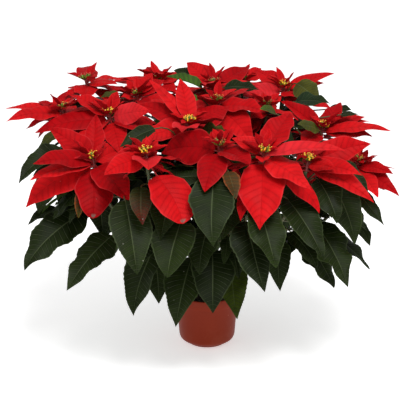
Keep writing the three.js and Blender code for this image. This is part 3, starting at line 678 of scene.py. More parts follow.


# How single blades differ from the rest, by head and place in its list, or by place among the leaves. Some of
# the reds here are painted light, painted shade or painted sheen, as said where they stand.
OWN_LOOK = {
    "A0": dict(fold=4, cup=-0.08, round=0.7),
    "A1": dict(quilt=1.3, base=RED, tip=DEEP_RED, belly=0.78),
    # A3 and A4 are deep red as painted shade, where they hang in the shade of their head.
    "A3": dict(base=DEEP_RED, round=0.62),
    "A4": all_in(DEEP_RED, **BLUNT, spot=GREY),
    "A8": all_in(PINK_SHEEN_RED, fold=45),
    "A9": all_in(PINK_SHEEN_RED, fold=45),
    "B0": dict(BLUNT, round=0.5, base=RED, tip=BRIGHT_RED, spot=GREY),
    "B1": dict(fold=26, base=PINK_SHEEN_RED, tip=BRIGHT_RED, quilt=0.4),
    # C's bracts are deep red as painted shade, where they lie in the shade under J, H and D.
    "C0": all_in(DEEP_RED, quilt=0.8),
    "C1": all_in(DEEP_RED),
    "C2": all_in(DEEP_RED, **BLUNT),
    # D0's tip and D1 are bright red as painted light, where they face up to the lamps.
    "D0": dict(base=RED, tip=BRIGHT_RED, drip=0.75, quilt=0.8),
    "D1": all_in(BRIGHT_RED, drip=0.75, fold=16),
    "D3": dict(base=PINK_SHEEN_RED, tip=BRIGHT_RED, fold=24, quilt=0.3),
    "D4": dict(BLUNT, base=RED, quilt=0.9, fold=14),
    "F1": dict(fold=38),
    "G1": all_in(PINK_SHEEN_RED, **BLUNT),
    "H0": dict(base=BRIGHT_RED),
    "J0": dict(fold=30, base=PINK_SHEEN_RED, tip=RED),
    "K0": dict(fold=8, base=PINK_SHEEN_RED, tip=BRIGHT_RED, quilt=0.3),
    "K2": all_in(DEEP_RED, quilt=1.2),
    "leaf_0": dict(lobes=0.12, lobe_rate=3.3, wave=0.2),
    "leaf_1": dict(lobes=0.1, lobe_rate=3.6, wave=0.2),
    "leaf_9": all_in(YELLOW_GREEN),
    "leaf_14": dict(lobes=0.14, lobe_rate=3.7, wave=0.2),
    "leaf_20": dict(lobes=0.1, lobe_rate=3.4, wave=0.2),
    "leaf_23": dict(base=OLIVE, tip=GREEN),
    "leaf_25": all_in(BROWN, veins=8, edge=ORANGE),
    "leaf_26": dict(base=GREEN, tip=MAROON),
    "leaf_27": dict(base=MAROON, tip=OLIVE, fold=40, edge=ORANGE),
    "leaf_31": all_in(FRESH_GREEN, fold=38),
    "leaf_32": all_in(FRESH_GREEN),
    "leaf_34": all_in(OLIVE),
    "leaf_35": dict(base=BLUE_GREEN, tip=GREEN),
    "leaf_36": dict(base=OLIVE, tip=FRESH_GREEN, arch=40),
    "leaf_37": all_in(OLIVE),
    "leaf_38": all_in(OLIVE, wave=0.25, fold=25, lobes=0.12, lobe_rate=3.1),
    "leaf_41": all_in(OLIVE),
}


def mix(a, b, share):
    return a * (1 - share) + b * share


# What each blade draws, in this order: how it is bent in degrees, its outline, its lobes and waves. The tip
# is a share of the base's colour. LIVELY ones are smaller on a calmer blade.
POSE = dict(arch=(2, 16), hook=(-4, 14), sway=(-0.05, 0.05), twist=(-12, 12), wave_rate=(1.4, 2.6))
BRACT_HABITS = dict(
    POSE, tip=(0.92, 1.12), belly=(0.62, 0.76), round=(0.7, 0.9), drip=(0.3, 0.6), lobes=(0.01, 0.06),
    lobe_rate=(1.6, 2.8), wave=(0.06, 0.16), fold=(5, 22), cup=(-0.34, -0.04),
)
LEAF_HABITS = dict(
    POSE, tip=(0.9, 1.3), belly=(0.58, 0.72), round=(0.68, 0.88), drip=(0.3, 0.55), lobes=(0.02, 0.1),
    lobe_rate=(1.6, 3.2), wave=(0.06, 0.16), fold=(6, 20), cup=(-0.26, 0.0),
)
LIVELY = {"arch", "hook", "sway", "twist", "wave", "cup"}


def look_of(blade, rng, wildness, habits, base, **fixed):
    """A blade's look: phase, habits and base colour, with what its kind and the blade itself have fixed."""
    look = dict(fixed, base=base, phase=rng.uniform(0, 1, 3))
    for habit, span in habits.items():
        look[habit] = rng.uniform(*span) * (wildness if habit in LIVELY else 1)
    look["tip"] = base * look["tip"]
    look.update(OWN_LOOK.get(blade.name, {}))
    return look


def bract_look(blade, rng, wildness=1.0):
    base = mix(RED, BRIGHT_RED if rng.uniform() < 0.5 else DEEP_RED, rng.uniform())
    veins, quilt = (10, 0.8) if blade.width > 30 else (7, 0.4)
    below = np.array([0.92, 1.8, 1.8])
    fixed = dict(below=below, veins=veins, quilt=quilt, slant=0.6, scallop=0.015)
    return look_of(blade, rng, wildness, BRACT_HABITS, base, **fixed)


def inner_look(blade, rng, wildness=1.0):
    """The look of the small bracts that stand up round the flowers."""
    look = bract_look(blade, rng, wildness)
    look.update(fold=rng.uniform(18, 38), cup=rng.uniform(-0.1, 0.2), arch=rng.uniform(-20, 0))
    return look


def leaf_look(blade, rng, wildness=1.0):
    base = mix(GREEN, DEEP_GREEN, rng.uniform())
    veins, quilt = (15, 0.9) if blade.width > 60 else (12, 0.9) if blade.width > 34 else (8, 0.5)
    below = np.array([1.9, 2.1, 1.8])
    fixed = dict(below=below, veins=veins, quilt=quilt, slant=0.5, scallop=0.04)
    return look_of(blade, rng, wildness, LEAF_HABITS, base, **fixed)


# ---- room for blades


class Space:
    """What already fills the plant, so that no blade is put through another."""

    def __init__(self):
        self.trees, self.lows, self.highs = [], [], []

    def add(self, corners, faces):
        self.trees.append(BVHTree.FromPolygons(corners.tolist(), faces))
        self.lows.append(corners.min(axis=0))
        self.highs.append(corners.max(axis=0))

    def is_free(self, corners, faces):
        low, high = corners.min(axis=0), corners.max(axis=0)
        near = np.all((np.array(self.lows) < high) & (np.array(self.highs) > low), axis=1)
        tree = BVHTree.FromPolygons(corners.tolist(), faces)
        return not any(tree.overlap(self.trees[i]) for i in np.flatnonzero(near))


def sheet(blade, look):
    """A coarse sheet of the blade and its stalk, short of where it joins its stem."""
    start = 0.14 if blade.kind == "bract" else 0.05
    r, u = np.linspace(start, 0.96, 8), np.linspace(-1, 1, 5)
    corners = surface(blade, look, r, u)[0].reshape(-1, 3)
    faces = [[5 * i + j, 5 * i + j + 1, 5 * i + j + 6, 5 * i + j + 5] for i in range(7) for j in range(4)]
    if blade.kind == "leaf":
        line = stalk_line(blade)[2:]
        first, n = len(corners), len(line)
        corners = np.vstack([corners, line, line + (0, 0, STALK_R)])
        faces += [[first + i, first + i + 1, first + i + 1 + n, first + i + n] for i in range(n - 1)]
    return corners, faces


def settle(blade, space, rng, make_look):
    """A look for a blade whose place is fixed: the liveliest that keeps it clear of the others."""
    for wildness in (1.0, 1.0, 0.8, 0.6, 0.4, 0.2):
        look = make_look(blade, rng, wildness)
        shape = sheet(blade, look)
        if space.is_free(*shape):
            break
    space.add(*shape)
    return look


# How far a listed leaf may be off its place, and how an added blade gives way, as in WAYS.
SHIFTS = [(0, 0, 0), (0, 12, 0), (0, -12, 0), (0, 0, -10), (0, 0, 10), (12, 0, 0), (-12, 0, 0), (0, 25, -10)]
NUDGES = []
for share, turn in ((1.0, 9), (0.88, 16), (0.75, 20)):
    NUDGES.append((0, 0, share))
    NUDGES += [(p * turn, a * turn, share) for p, a in SIDEWAYS[:4]]


def squeeze(blade, blades, space, rng, make_look):
    """Adds the blade with its look to the list where it fits between the others, if it does."""
    look = make_look(blade, rng)
    for nudge in NUDGES:
        moved = blade.moved(nudge)
        shape = sheet(moved, look)
        if space.is_free(*shape):
            space.add(*shape)
            blades.append((moved, look))
            return True
    return False


# ---- materials

DUST = (0.4, 0.4, 0.34)


class Skin:
    """A material in the making, with its main shader and the place on the object for its textures."""

    def __init__(self, name):
        self.material = bpy.data.materials.new(name)
        self.material.use_nodes = True
        self.tree = self.material.node_tree
        self.shader = self.tree.nodes["Principled BSDF"].inputs
        self.place = self.node("TexCoord").outputs["Object"]

    def node(self, kind, **settings):
        new = self.tree.nodes.new("ShaderNode" + kind)
        for key, value in settings.items():
            setattr(new, key, value)
        return new

    def feed(self, socket, value):
        """Links a socket to another one, or sets it to a number or a colour."""
        if isinstance(value, bpy.types.NodeSocket):
            self.tree.links.new(value, socket)
        else:
            socket.default_value = (*value, 1) if isinstance(value, tuple) else value

    def maths(self, operation, *values):
        new = self.node("Math", operation=operation)
        for socket, value in zip(new.inputs, values):
            self.feed(socket, value)
        return new.outputs[0]

    def mixed(self, factor, a, b, how="MIX"):
        new = self.node("Mix", data_type="RGBA", blend_type=how)
        for i, value in ((0, factor), (6, a), (7, b)):
            self.feed(new.inputs[i], value)
        return new.outputs[2]

    def ranged(self, value, low, high, start, end, how="LINEAR"):
        """From start at low to end at high."""
        new = self.node("MapRange", interpolation_type=how)
        for i, number in enumerate((value, low, high, start, end)):
            self.feed(new.inputs[i], number)
        return new.outputs[0]

    def step(self, value, low, high, start=0.0, end=1.0):
        return self.ranged(value, low, high, start, end, "SMOOTHSTEP")

    def texture(self, kind, **inputs):
        new = self.node("Tex" + kind)
        self.feed(new.inputs["Vector"], self.place)
        for name, value in inputs.items():
            new.inputs[name].default_value = value
        return new.outputs

    def specks(self, scale, size, share):
        """A mask of small round dots in that share of the cells."""
        cells = self.texture("Voronoi", Scale=scale)
        dot = self.step(cells["Distance"], size, 0.6 * size)
        return self.maths("MULTIPLY", dot, self.step(cells["Color"], 1 - share, 1.02 - share))

    def tinted(self, shade):
        """The mesh's own tint, made darker and paler by the shade."""
        tint = self.node("Attribute", attribute_name="tint")
        grey = self.node("CombineColor")
        for socket in grey.inputs[:3]:
            self.feed(socket, shade)
        return self.mixed(1.0, tint.outputs["Color"], grey.outputs[0], "MULTIPLY")

    def dress(self, colour, roughness, height, strength, distance):
        """Gives the shader its colour, roughness and relief."""
        bump = self.node("Bump")
        bump.inputs["Strength"].default_value = strength
        bump.inputs["Distance"].default_value = distance
        self.feed(bump.inputs["Height"], height)
        self.feed(self.shader["Base Color"], colour)
        self.feed(self.shader["Roughness"], roughness)
        self.feed(self.shader["Normal"], bump.outputs[0])


def blade_lines(skin):
    """Masks from the mesh's own lines: the veins, the puffs between them, the edge."""
    attribute = skin.node("Attribute", attribute_name="blade")
    parts = skin.node("SeparateXYZ")
    skin.feed(parts.inputs[0], attribute.outputs["Vector"])
    across = skin.maths("ABSOLUTE", parts.outputs[0])
    place = skin.maths("FRACT", parts.outputs[1])
    off = skin.maths("ABSOLUTE", skin.maths("SUBTRACT", place, 0.5))
    near = skin.maths("SUBTRACT", 0.5, off)
    thin = skin.maths("MULTIPLY_ADD", across, 0.05, 0.035)
    side_vein = skin.step(near, 0.0, thin, 1.0, 0.0)
    inward = skin.step(across, 1.0, 0.7)
    middle = skin.step(across, 0.0, 0.05, 1.0, 0.0)
    lines = skin.maths("MAXIMUM", skin.maths("MULTIPLY", side_vein, inward), middle)
    return lines, skin.step(near, 0.0, 0.4), skin.step(across, 0.9, 0.99)


def blade_material(name, veins, rim, dust, groove, mottle, roughness, gloss, sheen):
    """A bract's or a leaf's skin; veins, rim and dust are a colour and how much of it shows. The share groove
    is painted shade in the vein grooves and painted light on the puffs between them.
    """
    skin = Skin(name)
    lines, puffs, edge = blade_lines(skin)
    cloud = skin.texture("Noise", Scale=42, Detail=5)[0]
    shade = skin.step(cloud, 0.3, 0.7, 1 - mottle, 1 + mottle)
    # Painted shade and light: the colour is darker in the vein grooves and lighter on the puffs between them,
    # by the share groove.
    colour = skin.tinted(skin.maths("MULTIPLY", shade, skin.step(puffs, 0.0, 1.0, 1 - groove, 1 + groove)))
    dots = skin.specks(scale=110, size=0.14, share=0.12)
    for mask, (paint, share) in ((lines, veins), (edge, rim), (dots, dust)):
        colour = skin.mixed(skin.maths("MULTIPLY", mask, share), colour, paint)
    grain = skin.maths("MULTIPLY", skin.texture("Voronoi", Scale=700)["Distance"], 0.5)
    height = skin.maths("SUBTRACT", grain, skin.maths("MULTIPLY", lines, 1.4))
    rough = skin.step(cloud, 0.0, 1.0, roughness - 0.08, roughness + 0.1)
    skin.dress(colour, rough, height, strength=0.6, distance=0.0005)
    skin.shader["Specular IOR Level"].default_value = gloss
    skin.shader["Sheen Weight"].default_value = sheen
    skin.shader["Sheen Roughness"].default_value = 0.45
    skin.shader["Sheen Tint"].default_value = (1.0, 0.5, 0.5, 1)
    return skin.material


def noisy_material(name, low, high, scale, roughness, strength):
    """Two colours in a noise that is its relief too."""
    skin = Skin(name)
    noise = skin.texture("Noise", Scale=scale, Detail=6)[0]
    colour = skin.mixed(skin.ranged(noise, 0.3, 0.7, 0.0, 1.0), low, high)
    skin.dress(colour, roughness, noise, strength, distance=0.001)
    return skin.material


def tinted_material(name, roughness):
    """Takes its colour from the mesh, with a fine mottle."""
    skin = Skin(name)
    noise = skin.texture("Noise", Scale=220, Detail=3)[0]
    colour = skin.tinted(skin.ranged(noise, 0.0, 1.0, 0.7, 1.3))
    skin.dress(colour, roughness, noise, strength=0.3, distance=0.0003)
    return skin.material


def pot_material():
    """Terracotta-coloured plastic: satin, a little mottled, with pale mineral specks and faint smears."""
    skin = Skin("pot_plastic")
    cloud = skin.texture("Noise", Scale=14, Detail=6)[0]
    smear = skin.texture("Noise", Scale=9, Detail=8, Roughness=0.7)[0]
    colour = skin.mixed(cloud, (0.18, 0.013, 0.001), (0.23, 0.022, 0.003))
    pale = skin.maths("MULTIPLY", skin.specks(scale=230, size=0.18, share=0.12), 0.5)
    colour = skin.mixed(pale, colour, (0.55, 0.3, 0.22))
    colour = skin.mixed(skin.ranged(smear, 0.55, 0.8, 0.0, 0.2), colour, (0.36, 0.12, 0.07))
    rough = skin.ranged(cloud, 0.0, 1.0, 0.38, 0.55)
    skin.dress(colour, rough, smear, strength=0.15, distance=0.0005)
    skin.shader["Specular IOR Level"].default_value = 0.15
    return skin.material


def finishes():
    return dict(
        bract=blade_material(
            "bract_red", veins=((0.16, 0.001, 0.002), 0.18), rim=((0.70, 0.06, 0.06), 0.25),
            dust=(DUST, 0.15), groove=0.05, mottle=0.12, roughness=0.5, gloss=0.05, sheen=0.03,
        ),
        leaf=blade_material(
            "leaf_green", veins=((0.12, 0.15, 0.07), 0.42), rim=((0.09, 0.12, 0.05), 0.35),
            dust=(DUST, 0.6), groove=0.2, mottle=0.25, roughness=0.48, gloss=0.09, sheen=0.0,
        ),
        stem=tinted_material("stem_skin", roughness=0.5),
        flower=tinted_material("flower_skin", roughness=0.42),
        pot=pot_material(),
        soil=noisy_material(
            "peat", (0.008, 0.005, 0.003), (0.05, 0.028, 0.015), scale=240, roughness=0.95, strength=0.9,
        ),
        bark=noisy_material(
            "bark", (0.06, 0.035, 0.018), (0.22, 0.16, 0.09), scale=90, roughness=0.85, strength=0.8,
        ),
    )


# ---- the pieces

STALK_TINT, CORE_TINT = np.array([0.06, 0.05, 0.012]), (0.16, 0.008, 0.006)
OLD_STEM, YOUNG_STEM = np.array([0.09, 0.06, 0.025]), np.array([0.045, 0.06, 0.014])
POT_TINT, SOIL_TINT, BARK_TINT = (0.2, 0.03, 0.01), (0.02, 0.012, 0.007), (0.15, 0.1, 0.05)

# The heads whose glands are yellow, and the colours of yellow and of dim glands. The other heads get dim
# glands and mostly dark anthers, which on C is painted shade: it sits in the shade below J, H and D.
YELLOW_HEADS = "ABDEFGJK"
RIPE_GLAND, DIM_GLAND = np.array([0.95, 0.60, 0.02]), np.array([0.16, 0.10, 0.01])
SEAT_TINT, CUP_TINT = (0.08, 0.1, 0.015), np.array([0.14, 0.26, 0.02])
FILAMENT, POLLEN, DARK_ANTHER = (0.5, 0.03, 0.02), (0.95, 0.62, 0.05), (0.5, 0.03, 0.01)

# A flower's cup: shares of its height, and its radius at each.
CUP_STEPS = np.array([0, 0.15, 0.45, 0.75, 0.92, 1.0])
CUP_RADII = np.array([0.7, 1.5, 2.2, 2.0, 1.5, 1.1])

CRUMBS = 260  # of peat on the soil


def detail(blade, own):
    """Rows of faces for each side vein, and columns, by the blade's size and where it is."""
    if blade.width < 22:
        return 2, 6
    if not own:
        return 2, 8
    return 2, 12 if blade.width > 40 else 10


def add_blades(mesh, blades, own):
    """Adds blades with their stalks; own says that the frame has them."""
    for blade, look in blades:
        fine_blade(mesh, blade, look, *detail(blade, own))
        add_stalk(mesh, blade, STALK_TINT if blade.kind == "leaf" else look["base"] * 0.8)


def rosette(head, finish):
    mesh = Mesh()
    add_blades(mesh, head.bracts, True)
    foot, top = head.at - head.axis * CORE_H, head.at + head.axis * CORE_TOP
    t = np.linspace(0, 1, 6)[:, None]
    core = tube(foot * (1 - t) + top * t, np.linspace(BRANCH_TIP_R, CORE_R, 6), 12)
    mesh.add(*core, CORE_TINT, material=1)
    obj = mesh.piece("rosette_" + head.name, [finish["bract"], finish["stem"]])
    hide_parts("bracts_" + head.name)


def foliage(head, finish):
    """The branch, with a knot at every third step, and its leaves."""
    mesh = Mesh()
    add_blades(mesh, head.leaves, True)
    radii = np.linspace(BRANCH_R, BRANCH_TIP_R, STEPS + 1)
    knots = np.abs(np.sin(np.arange(STEPS + 1) * math.pi / 3)) < 0.1
    share = np.repeat(np.linspace(0, 1, STEPS + 1), 12)[:, None]
    mesh.add(*tube(head.line, radii + 0.5 * knots, 12), mix(OLD_STEM, YOUNG_STEM, share), material=1)
    obj = mesh.piece("foliage_" + head.name, [finish["leaf"], finish["stem"]])
    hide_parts("stem_" + head.name)


def undergrowth(head, finish):
    """The smaller bracts and the leaves between the ones that the frame has."""
    for name, kind, blades in (("bracts", "bract", head.small_bracts), ("leaves", "leaf", head.small_leaves)):
        if blades:
            mesh = Mesh()
            add_blades(mesh, blades, False)
            obj = mesh.piece(f"more_{name}_{head.name}", [finish[kind], finish["stem"]])


def flowers(head, index, finish, rng):
    """The cyathia: green cups, each with a gland on its side and stamens on its rim."""
    mesh = Mesh()
    # Heads left out of the list get dim glands and dark anthers; on C that is painted shade.
    yellow_glands = head.name in YELLOW_HEADS
    up = head.axis
    side = unit(np.cross(up, [0, 1, 0]))
    other = np.cross(up, side)

    def outwards(angle):
        return side * math.cos(angle) + other * math.sin(angle)

    foot = head.at + up * (CORE_TOP + GAP)
    top = foot + up * 3.2
    seat = [foot, (foot + top) / 2, top, top + up * 0.6]
    mesh.add(*tube(seat, [CORE_R - 0.4, CORE_R + 1.2, CORE_R + 4, CORE_R], 16), SEAT_TINT)
    count = 9 + head.cups
    for k in range(count):
        angle = math.radians(40 * index + GOLDEN * k)
        out = math.sqrt((k + 0.3) / count)
        base = top + outwards(angle) * CLUSTER_R * 0.6 * out - up * 0.8
        lean = unit(up + outwards(angle) * 0.8 * out)
        high = rng.uniform(5.5, 8.0) + 2.5 * (1 - out)
        cup = tube(base + CUP_STEPS[:, None] * lean * high, CUP_RADII * rng.uniform(0.85, 1.1), 10)
        mesh.add(*cup, CUP_TINT * rng.uniform(0.7, 1.3))
        rim = base + lean * high
        facing = outwards(angle + rng.uniform(-0.8, 0.8))
        t = np.linspace(0, 1, 5)[:, None]
        gland = rim + facing * (1.8 + (t - 0.5) * 2.8) + lean * (1.4 * t - 1.4)
        tint = (RIPE_GLAND if yellow_glands else DIM_GLAND) * rng.uniform(0.8, 1.05)
        mesh.add(*tube(gland, [0.9, 1.6, 1.9, 1.7, 1.0], 8), tint)
        for _ in range(rng.integers(3, 6)):
            around = outwards(rng.uniform(0, 2 * math.pi))
            tilt = unit(lean + 0.5 * rng.uniform(0.2, 1) * around)
            end = rim + tilt * rng.uniform(1.8, 4.0)
            mesh.add(*tube([rim - lean * 0.3, (rim + end) / 2, end], [0.35, 0.32, 0.3], 5), FILAMENT)
            tint = POLLEN if rng.uniform() < (0.7 if yellow_glands else 0.1) else DARK_ANTHER
            mesh.add(*tube([end - tilt * 0.7, end, end + tilt * 0.8], [0.45, 1.1, 0.45], 6), tint)
    obj = mesh.piece("flowers_" + head.name, [finish["flower"]])
    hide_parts("cyathia_" + head.name)


def drill(obj, start, end, radius):
    """Cuts a round hole through the piece."""
    bore = bpy.data.meshes.new("bore")
    corners, faces = tube([start, end], (radius, radius), 24)
    bore.from_pydata((corners * MM).tolist(), [], faces)
    cutter = add_object("bore", bore)
    cut = obj.modifiers.new("bore", "BOOLEAN")
    cut.object, cut.operation, cut.solver = cutter, "DIFFERENCE", "EXACT"
    solid = bpy.data.meshes.new_from_object(obj.evaluated_get(bpy.context.evaluated_depsgraph_get()))
    obj.modifiers.clear()
    obj.data = solid
    bpy.data.objects.remove(cutter)


def pot_piece(finish):
    """The pot's outside, from the foot ring over the band to the rim, then its inside down to the floor."""
    profile = [
        (0, 0), (FOOT_R - 4.4, 0), (FOOT_R - 3.4, 0.5), (FOOT_R - 3, 1.4), (FOOT_R - 3, FOOT_H - 0.8),
        (FOOT_R - 2.4, FOOT_H), (FOOT_R + 1, FOOT_H + 0.9), (46.5, 6.2), (50, 7.9), (52.8, 10), (54.8, 12.6),
        (BODY_LOW_R - 1, 15.5), (BODY_LOW_R, BODY_LOW_Z), (58.8, 42), (60.7, 66), (BODY_TOP_R, BAND_Z),
        (BODY_TOP_R + 0.4, BAND_Z + 0.2), (RIM_R - 0.9, BAND_Z + 0.4), (RIM_R - 0.4, BAND_Z + 1.4),
        (RIM_R, POT_H - 1.2), (RIM_R - 0.3, POT_H - 0.4), (RIM_R - 0.9, POT_H), (RIM_R - 2.4, POT_H),
        (RIM_R - 3, POT_H - 1.2), (BODY_TOP_R - WALL, BAND_Z), (BODY_LOW_R - WALL, BODY_LOW_Z),
        (50.5, 10.5), (45, FLOOR_Z), (0, FLOOR_Z),
    ]
    mesh = Mesh()
    mesh.add(*turned(profile, 128), POT_TINT)
    obj = mesh.piece("pot_body", [finish["pot"]], sharp=40)
    for k in range(DRAINS):
        a = math.radians(30 + 360 * k / DRAINS)
        x, y = DRAIN_CIRCLE_R * math.cos(a), DRAIN_CIRCLE_R * math.sin(a)
        drill(obj, (x, y, -FLOOR_Z), (x, y, 2 * FLOOR_Z), DRAIN_R)
    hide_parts("pot")


def soil_wave(x, y):
    """The soil's long waves."""
    return 1.5 * np.sin(x * 0.37) * np.cos(y * 0.29)


def soil_piece(finish, rng):
    """The root ball, with crumbs on top."""
    inside = BODY_TOP_R - WALL - GAP - 0.3
    profile = [(0, FLOOR_Z + GAP), (44, FLOOR_Z + GAP), (50, 11), (54.4, BODY_LOW_Z), (inside, BAND_Z)]
    profile += [(inside, SOIL_TOP_Z - 4)]
    profile += [(r, SOIL_TOP_Z) for r in np.linspace(inside - 1, 3, 20)] + [(0, SOIL_TOP_Z)]
    corners, faces = turned(profile, 96)
    x, y, z = corners.T
    lump = soil_wave(x, y) + 0.8 * np.sin(x * 1.1 + 2) * np.sin(y * 0.9) + rng.uniform(-0.5, 0.5, len(x))
    on_top = (z > SOIL_TOP_Z - 1) & (np.hypot(x, y) < inside - 0.5)
    corners[:, 2] = np.where(on_top, z + lump, z)
    mesh = Mesh()
    mesh.add(corners, faces, SOIL_TINT)
    for _ in range(CRUMBS):
        r, a = (inside - 4) * math.sqrt(rng.uniform(0.03, 1)), rng.uniform(0, 2 * math.pi)
        size = rng.uniform(0.8, 2.4)
        x, y = r * math.cos(a), r * math.sin(a)
        along = unit(rng.normal(size=3))
        t = np.linspace(-1, 1, 4)[:, None]
        points = np.array([x, y, SOIL_TOP_Z + soil_wave(x, y)]) + t * along * size
        mesh.add(*tube(points, size * np.array([0.3, 0.9, 0.8, 0.3]), 6), SOIL_TINT)
    obj = mesh.piece("soil_top", [finish["soil"]], sharp=80)
    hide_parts("soil")


def trunk_piece(finish):
    """The trunk, a little uneven all round, with a pinched-off top."""
    z = np.linspace(TRUNK_FOOT_Z, TRUNK_TOP_Z, 60)
    radii = remap(z, TRUNK_FOOT_Z, TRUNK_TOP_Z, TRUNK_R, TRUNK_TOP_R)
    radii = radii + 0.35 * np.sin(z * 0.21) + 0.25 * np.sin(z * 0.63)
    radii[-1], radii[-2] = 3.2, 5.4
    corners, faces = tube(np.stack([0 * z, 0 * z, z], axis=1), radii, 24)
    around = np.arctan2(corners[:, 1], corners[:, 0])
    corners[:, :2] *= 1 + 0.03 * np.sin(3 * around + corners[:, 2] * 0.05)[:, None]
    mesh = Mesh()
    mesh.add(corners, faces, BARK_TINT)
    obj = mesh.piece("trunk_bark", [finish["bark"]])
    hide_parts("trunk")


# ---- stage, lights and camera

# In metres, degrees and watts.
CAMERA_TARGET = Vector((-0.0144, 0, 0.3055))
CAMERA_ELEVATION, CAMERA_DISTANCE, LENS = 18.5, 3.2, 143.46
FLOOR_SIDE, FLOOR_GLOW = 60, 0.5
WORLD_LIGHT = 0.55
LAMPS_AIM = Vector((0, 0, 0.3))


def place(name, data, location, facing):
    """Puts a camera or a lamp there, facing that way."""
    obj = add_object(name, data)
    obj.location = location
    obj.rotation_euler = facing.to_track_quat("-Z", "Y").to_euler()
    return obj


def stage():
    data = bpy.data.meshes.new("floor")
    s = FLOOR_SIDE / 2
    data.from_pydata([(-s, -s, 0), (s, -s, 0), (s, s, 0), (-s, s, 0)], [], [[0, 1, 2, 3]])
    floor = add_object("floor", data)
    skin = Skin("pale_floor")
    skin.shader["Base Color"].default_value = (0.93, 0.93, 0.93, 1)
    skin.shader["Roughness"].default_value = 0.9
    skin.shader["Specular IOR Level"].default_value = 0.1
    skin.shader["Emission Color"].default_value = (1, 1, 1, 1)
    skin.shader["Emission Strength"].default_value = FLOOR_GLOW
    data.materials.append(skin.material)
    world = bpy.data.worlds.new("studio")
    world.use_nodes = True
    world.node_tree.nodes["Background"].inputs[0].default_value = (1, 1, 1, 1)
    world.node_tree.nodes["Background"].inputs[1].default_value = WORLD_LIGHT
    bpy.context.scene.world = world


def lamp(name, location, size, power):
    light = bpy.data.lights.new(name, "AREA")
    light.energy, light.size = power, size
    place(name, light, location, LAMPS_AIM - Vector(location))


def studio():
    lamp("key", (0.5, -1.6, 3.2), size=1.4, power=90)
    lamp("fill", (-2.4, -2.2, 1.6), size=2.0, power=12)
    camera = bpy.data.cameras.new("camera")
    camera.lens, camera.clip_start, camera.clip_end = LENS, 0.05, 100
    e = math.radians(CAMERA_ELEVATION)
    back = Vector((0, -math.cos(e), math.sin(e)))
    scene = bpy.context.scene
    scene.camera = place("camera", camera, CAMERA_TARGET + back * CAMERA_DISTANCE, -back)
    scene.view_settings.view_transform = "Standard"


# ---- filling the plant


def obstacles(heads):
    """Pot, trunk, branches and flowers as coarse shapes."""
    space = Space()
    pot = [(0, 0), (FOOT_R, 0), (BODY_LOW_R, BODY_LOW_Z), (RIM_R, BAND_Z), (RIM_R, POT_H)]
    inside = [(RIM_R - 3, POT_H), (RIM_R - 3, SOIL_TOP_Z), (0, SOIL_TOP_Z)]
    space.add(*turned(pot + inside, 24))
    space.add(*tube([(0, 0, TRUNK_FOOT_Z), (0, 0, TRUNK_TOP_Z)], (TRUNK_R, TRUNK_TOP_R), 8))
    for head in heads.values():
        space.add(*tube(head.line[::2], [BRANCH_R] * (STEPS // 2 + 1), 6))
        foot = head.at - head.axis * 2
        space.add(*tube([foot, foot + head.axis * 14], (5, CLUSTER_R - 1), 8))
    return space


def add_small_bracts(head, space, rng):
    """A ring of small bracts that stand up round the flowers, and a lower ring of longer ones."""
    inner, lower = SPIKE_BRACTS if head.name == SPIKE else (INNER_BRACTS, LOWER_BRACTS)
    if head.name in HANGING:
        blade = head.bract(*HANGING[head.name])
        blade.lift(head.axis * -8)
        squeeze(blade, head.small_bracts, space, rng, bract_look)
    start = rng.uniform(0, 360)
    for k in range(inner):
        length = rng.uniform(26, 46)
        pitch, width, roll = rng.uniform(20, 48), rng.uniform(0.42, 0.55) * length, rng.uniform(-12, 12)
        blade = head.bract(start + GOLDEN * k, pitch, length, width, roll)
        blade.lift(head.axis * 6)
        squeeze(blade, head.small_bracts, space, rng, inner_look)
    start = rng.uniform(0, 360)
    for k in range(lower):
        az = start + GOLDEN * k
        length = head.spread * rng.uniform(0.7, 0.95)
        pitch, roll, width = rng.uniform(-30, 0), rng.uniform(-15, 15), rng.uniform(0.42, 0.56) * length
        if math.sin(math.radians(az)) >= head.least_back():
            blade = head.bract(az, pitch, length, width, roll)
            blade.lift(head.axis * -rng.uniform(2, 8))
            squeeze(blade, head.small_bracts, space, rng, bract_look)


def below_heads(heads, *points):
    """Whether each point is well below the head that is nearest to it as seen from above."""
    for point in points:
        nearest = min(heads.values(), key=lambda head: math.hypot(*(head.at - point)[:2]))
        if point[2] > nearest.at[2] - BELOW_HEAD:
            return False
    return True


class Filler:
    """Puts leaves on the branches where they lie inside the plant and below its heads.

    A leaf's tip reaches no further forward than front and stays above a cone with that bottom and slope,
    and its blade starts no lower than lowest. Widths are shares of its length.
    """

    def __init__(self, heads, space, rng, front, lowest, bottom, slope, widths, roll):
        self.heads, self.space, self.rng = heads, space, rng
        self.front, self.lowest, self.bottom, self.slope = front, lowest, bottom, slope
        self.widths, self.roll = widths, roll

    def fits(self, base, tip):
        above = tip[2] > self.bottom + self.slope * math.hypot(tip[0], tip[1])
        inside = abs(tip[0]) < SIDE and tip[1] >= self.front and base[2] >= self.lowest
        return above and inside and below_heads(self.heads, base, tip)

    def add(self, head, step, az, pitch, reach, length):
        """Tries a leaf whose stalk of that reach starts at this step of the head's branch."""
        foot = head.point(step)
        base = foot + reach * towards(az, pitch + 25)
        tip = base + length * towards(az, pitch - 10)
        if self.fits(base, tip):
            width, roll = self.rng.uniform(*self.widths) * length, self.rng.uniform(-self.roll, self.roll)
            blade = Blade("leaf", base, foot, az, pitch, LEAF_BEND, length, width, roll, 0)
            squeeze(blade, head.small_leaves, self.space, self.rng, leaf_look)


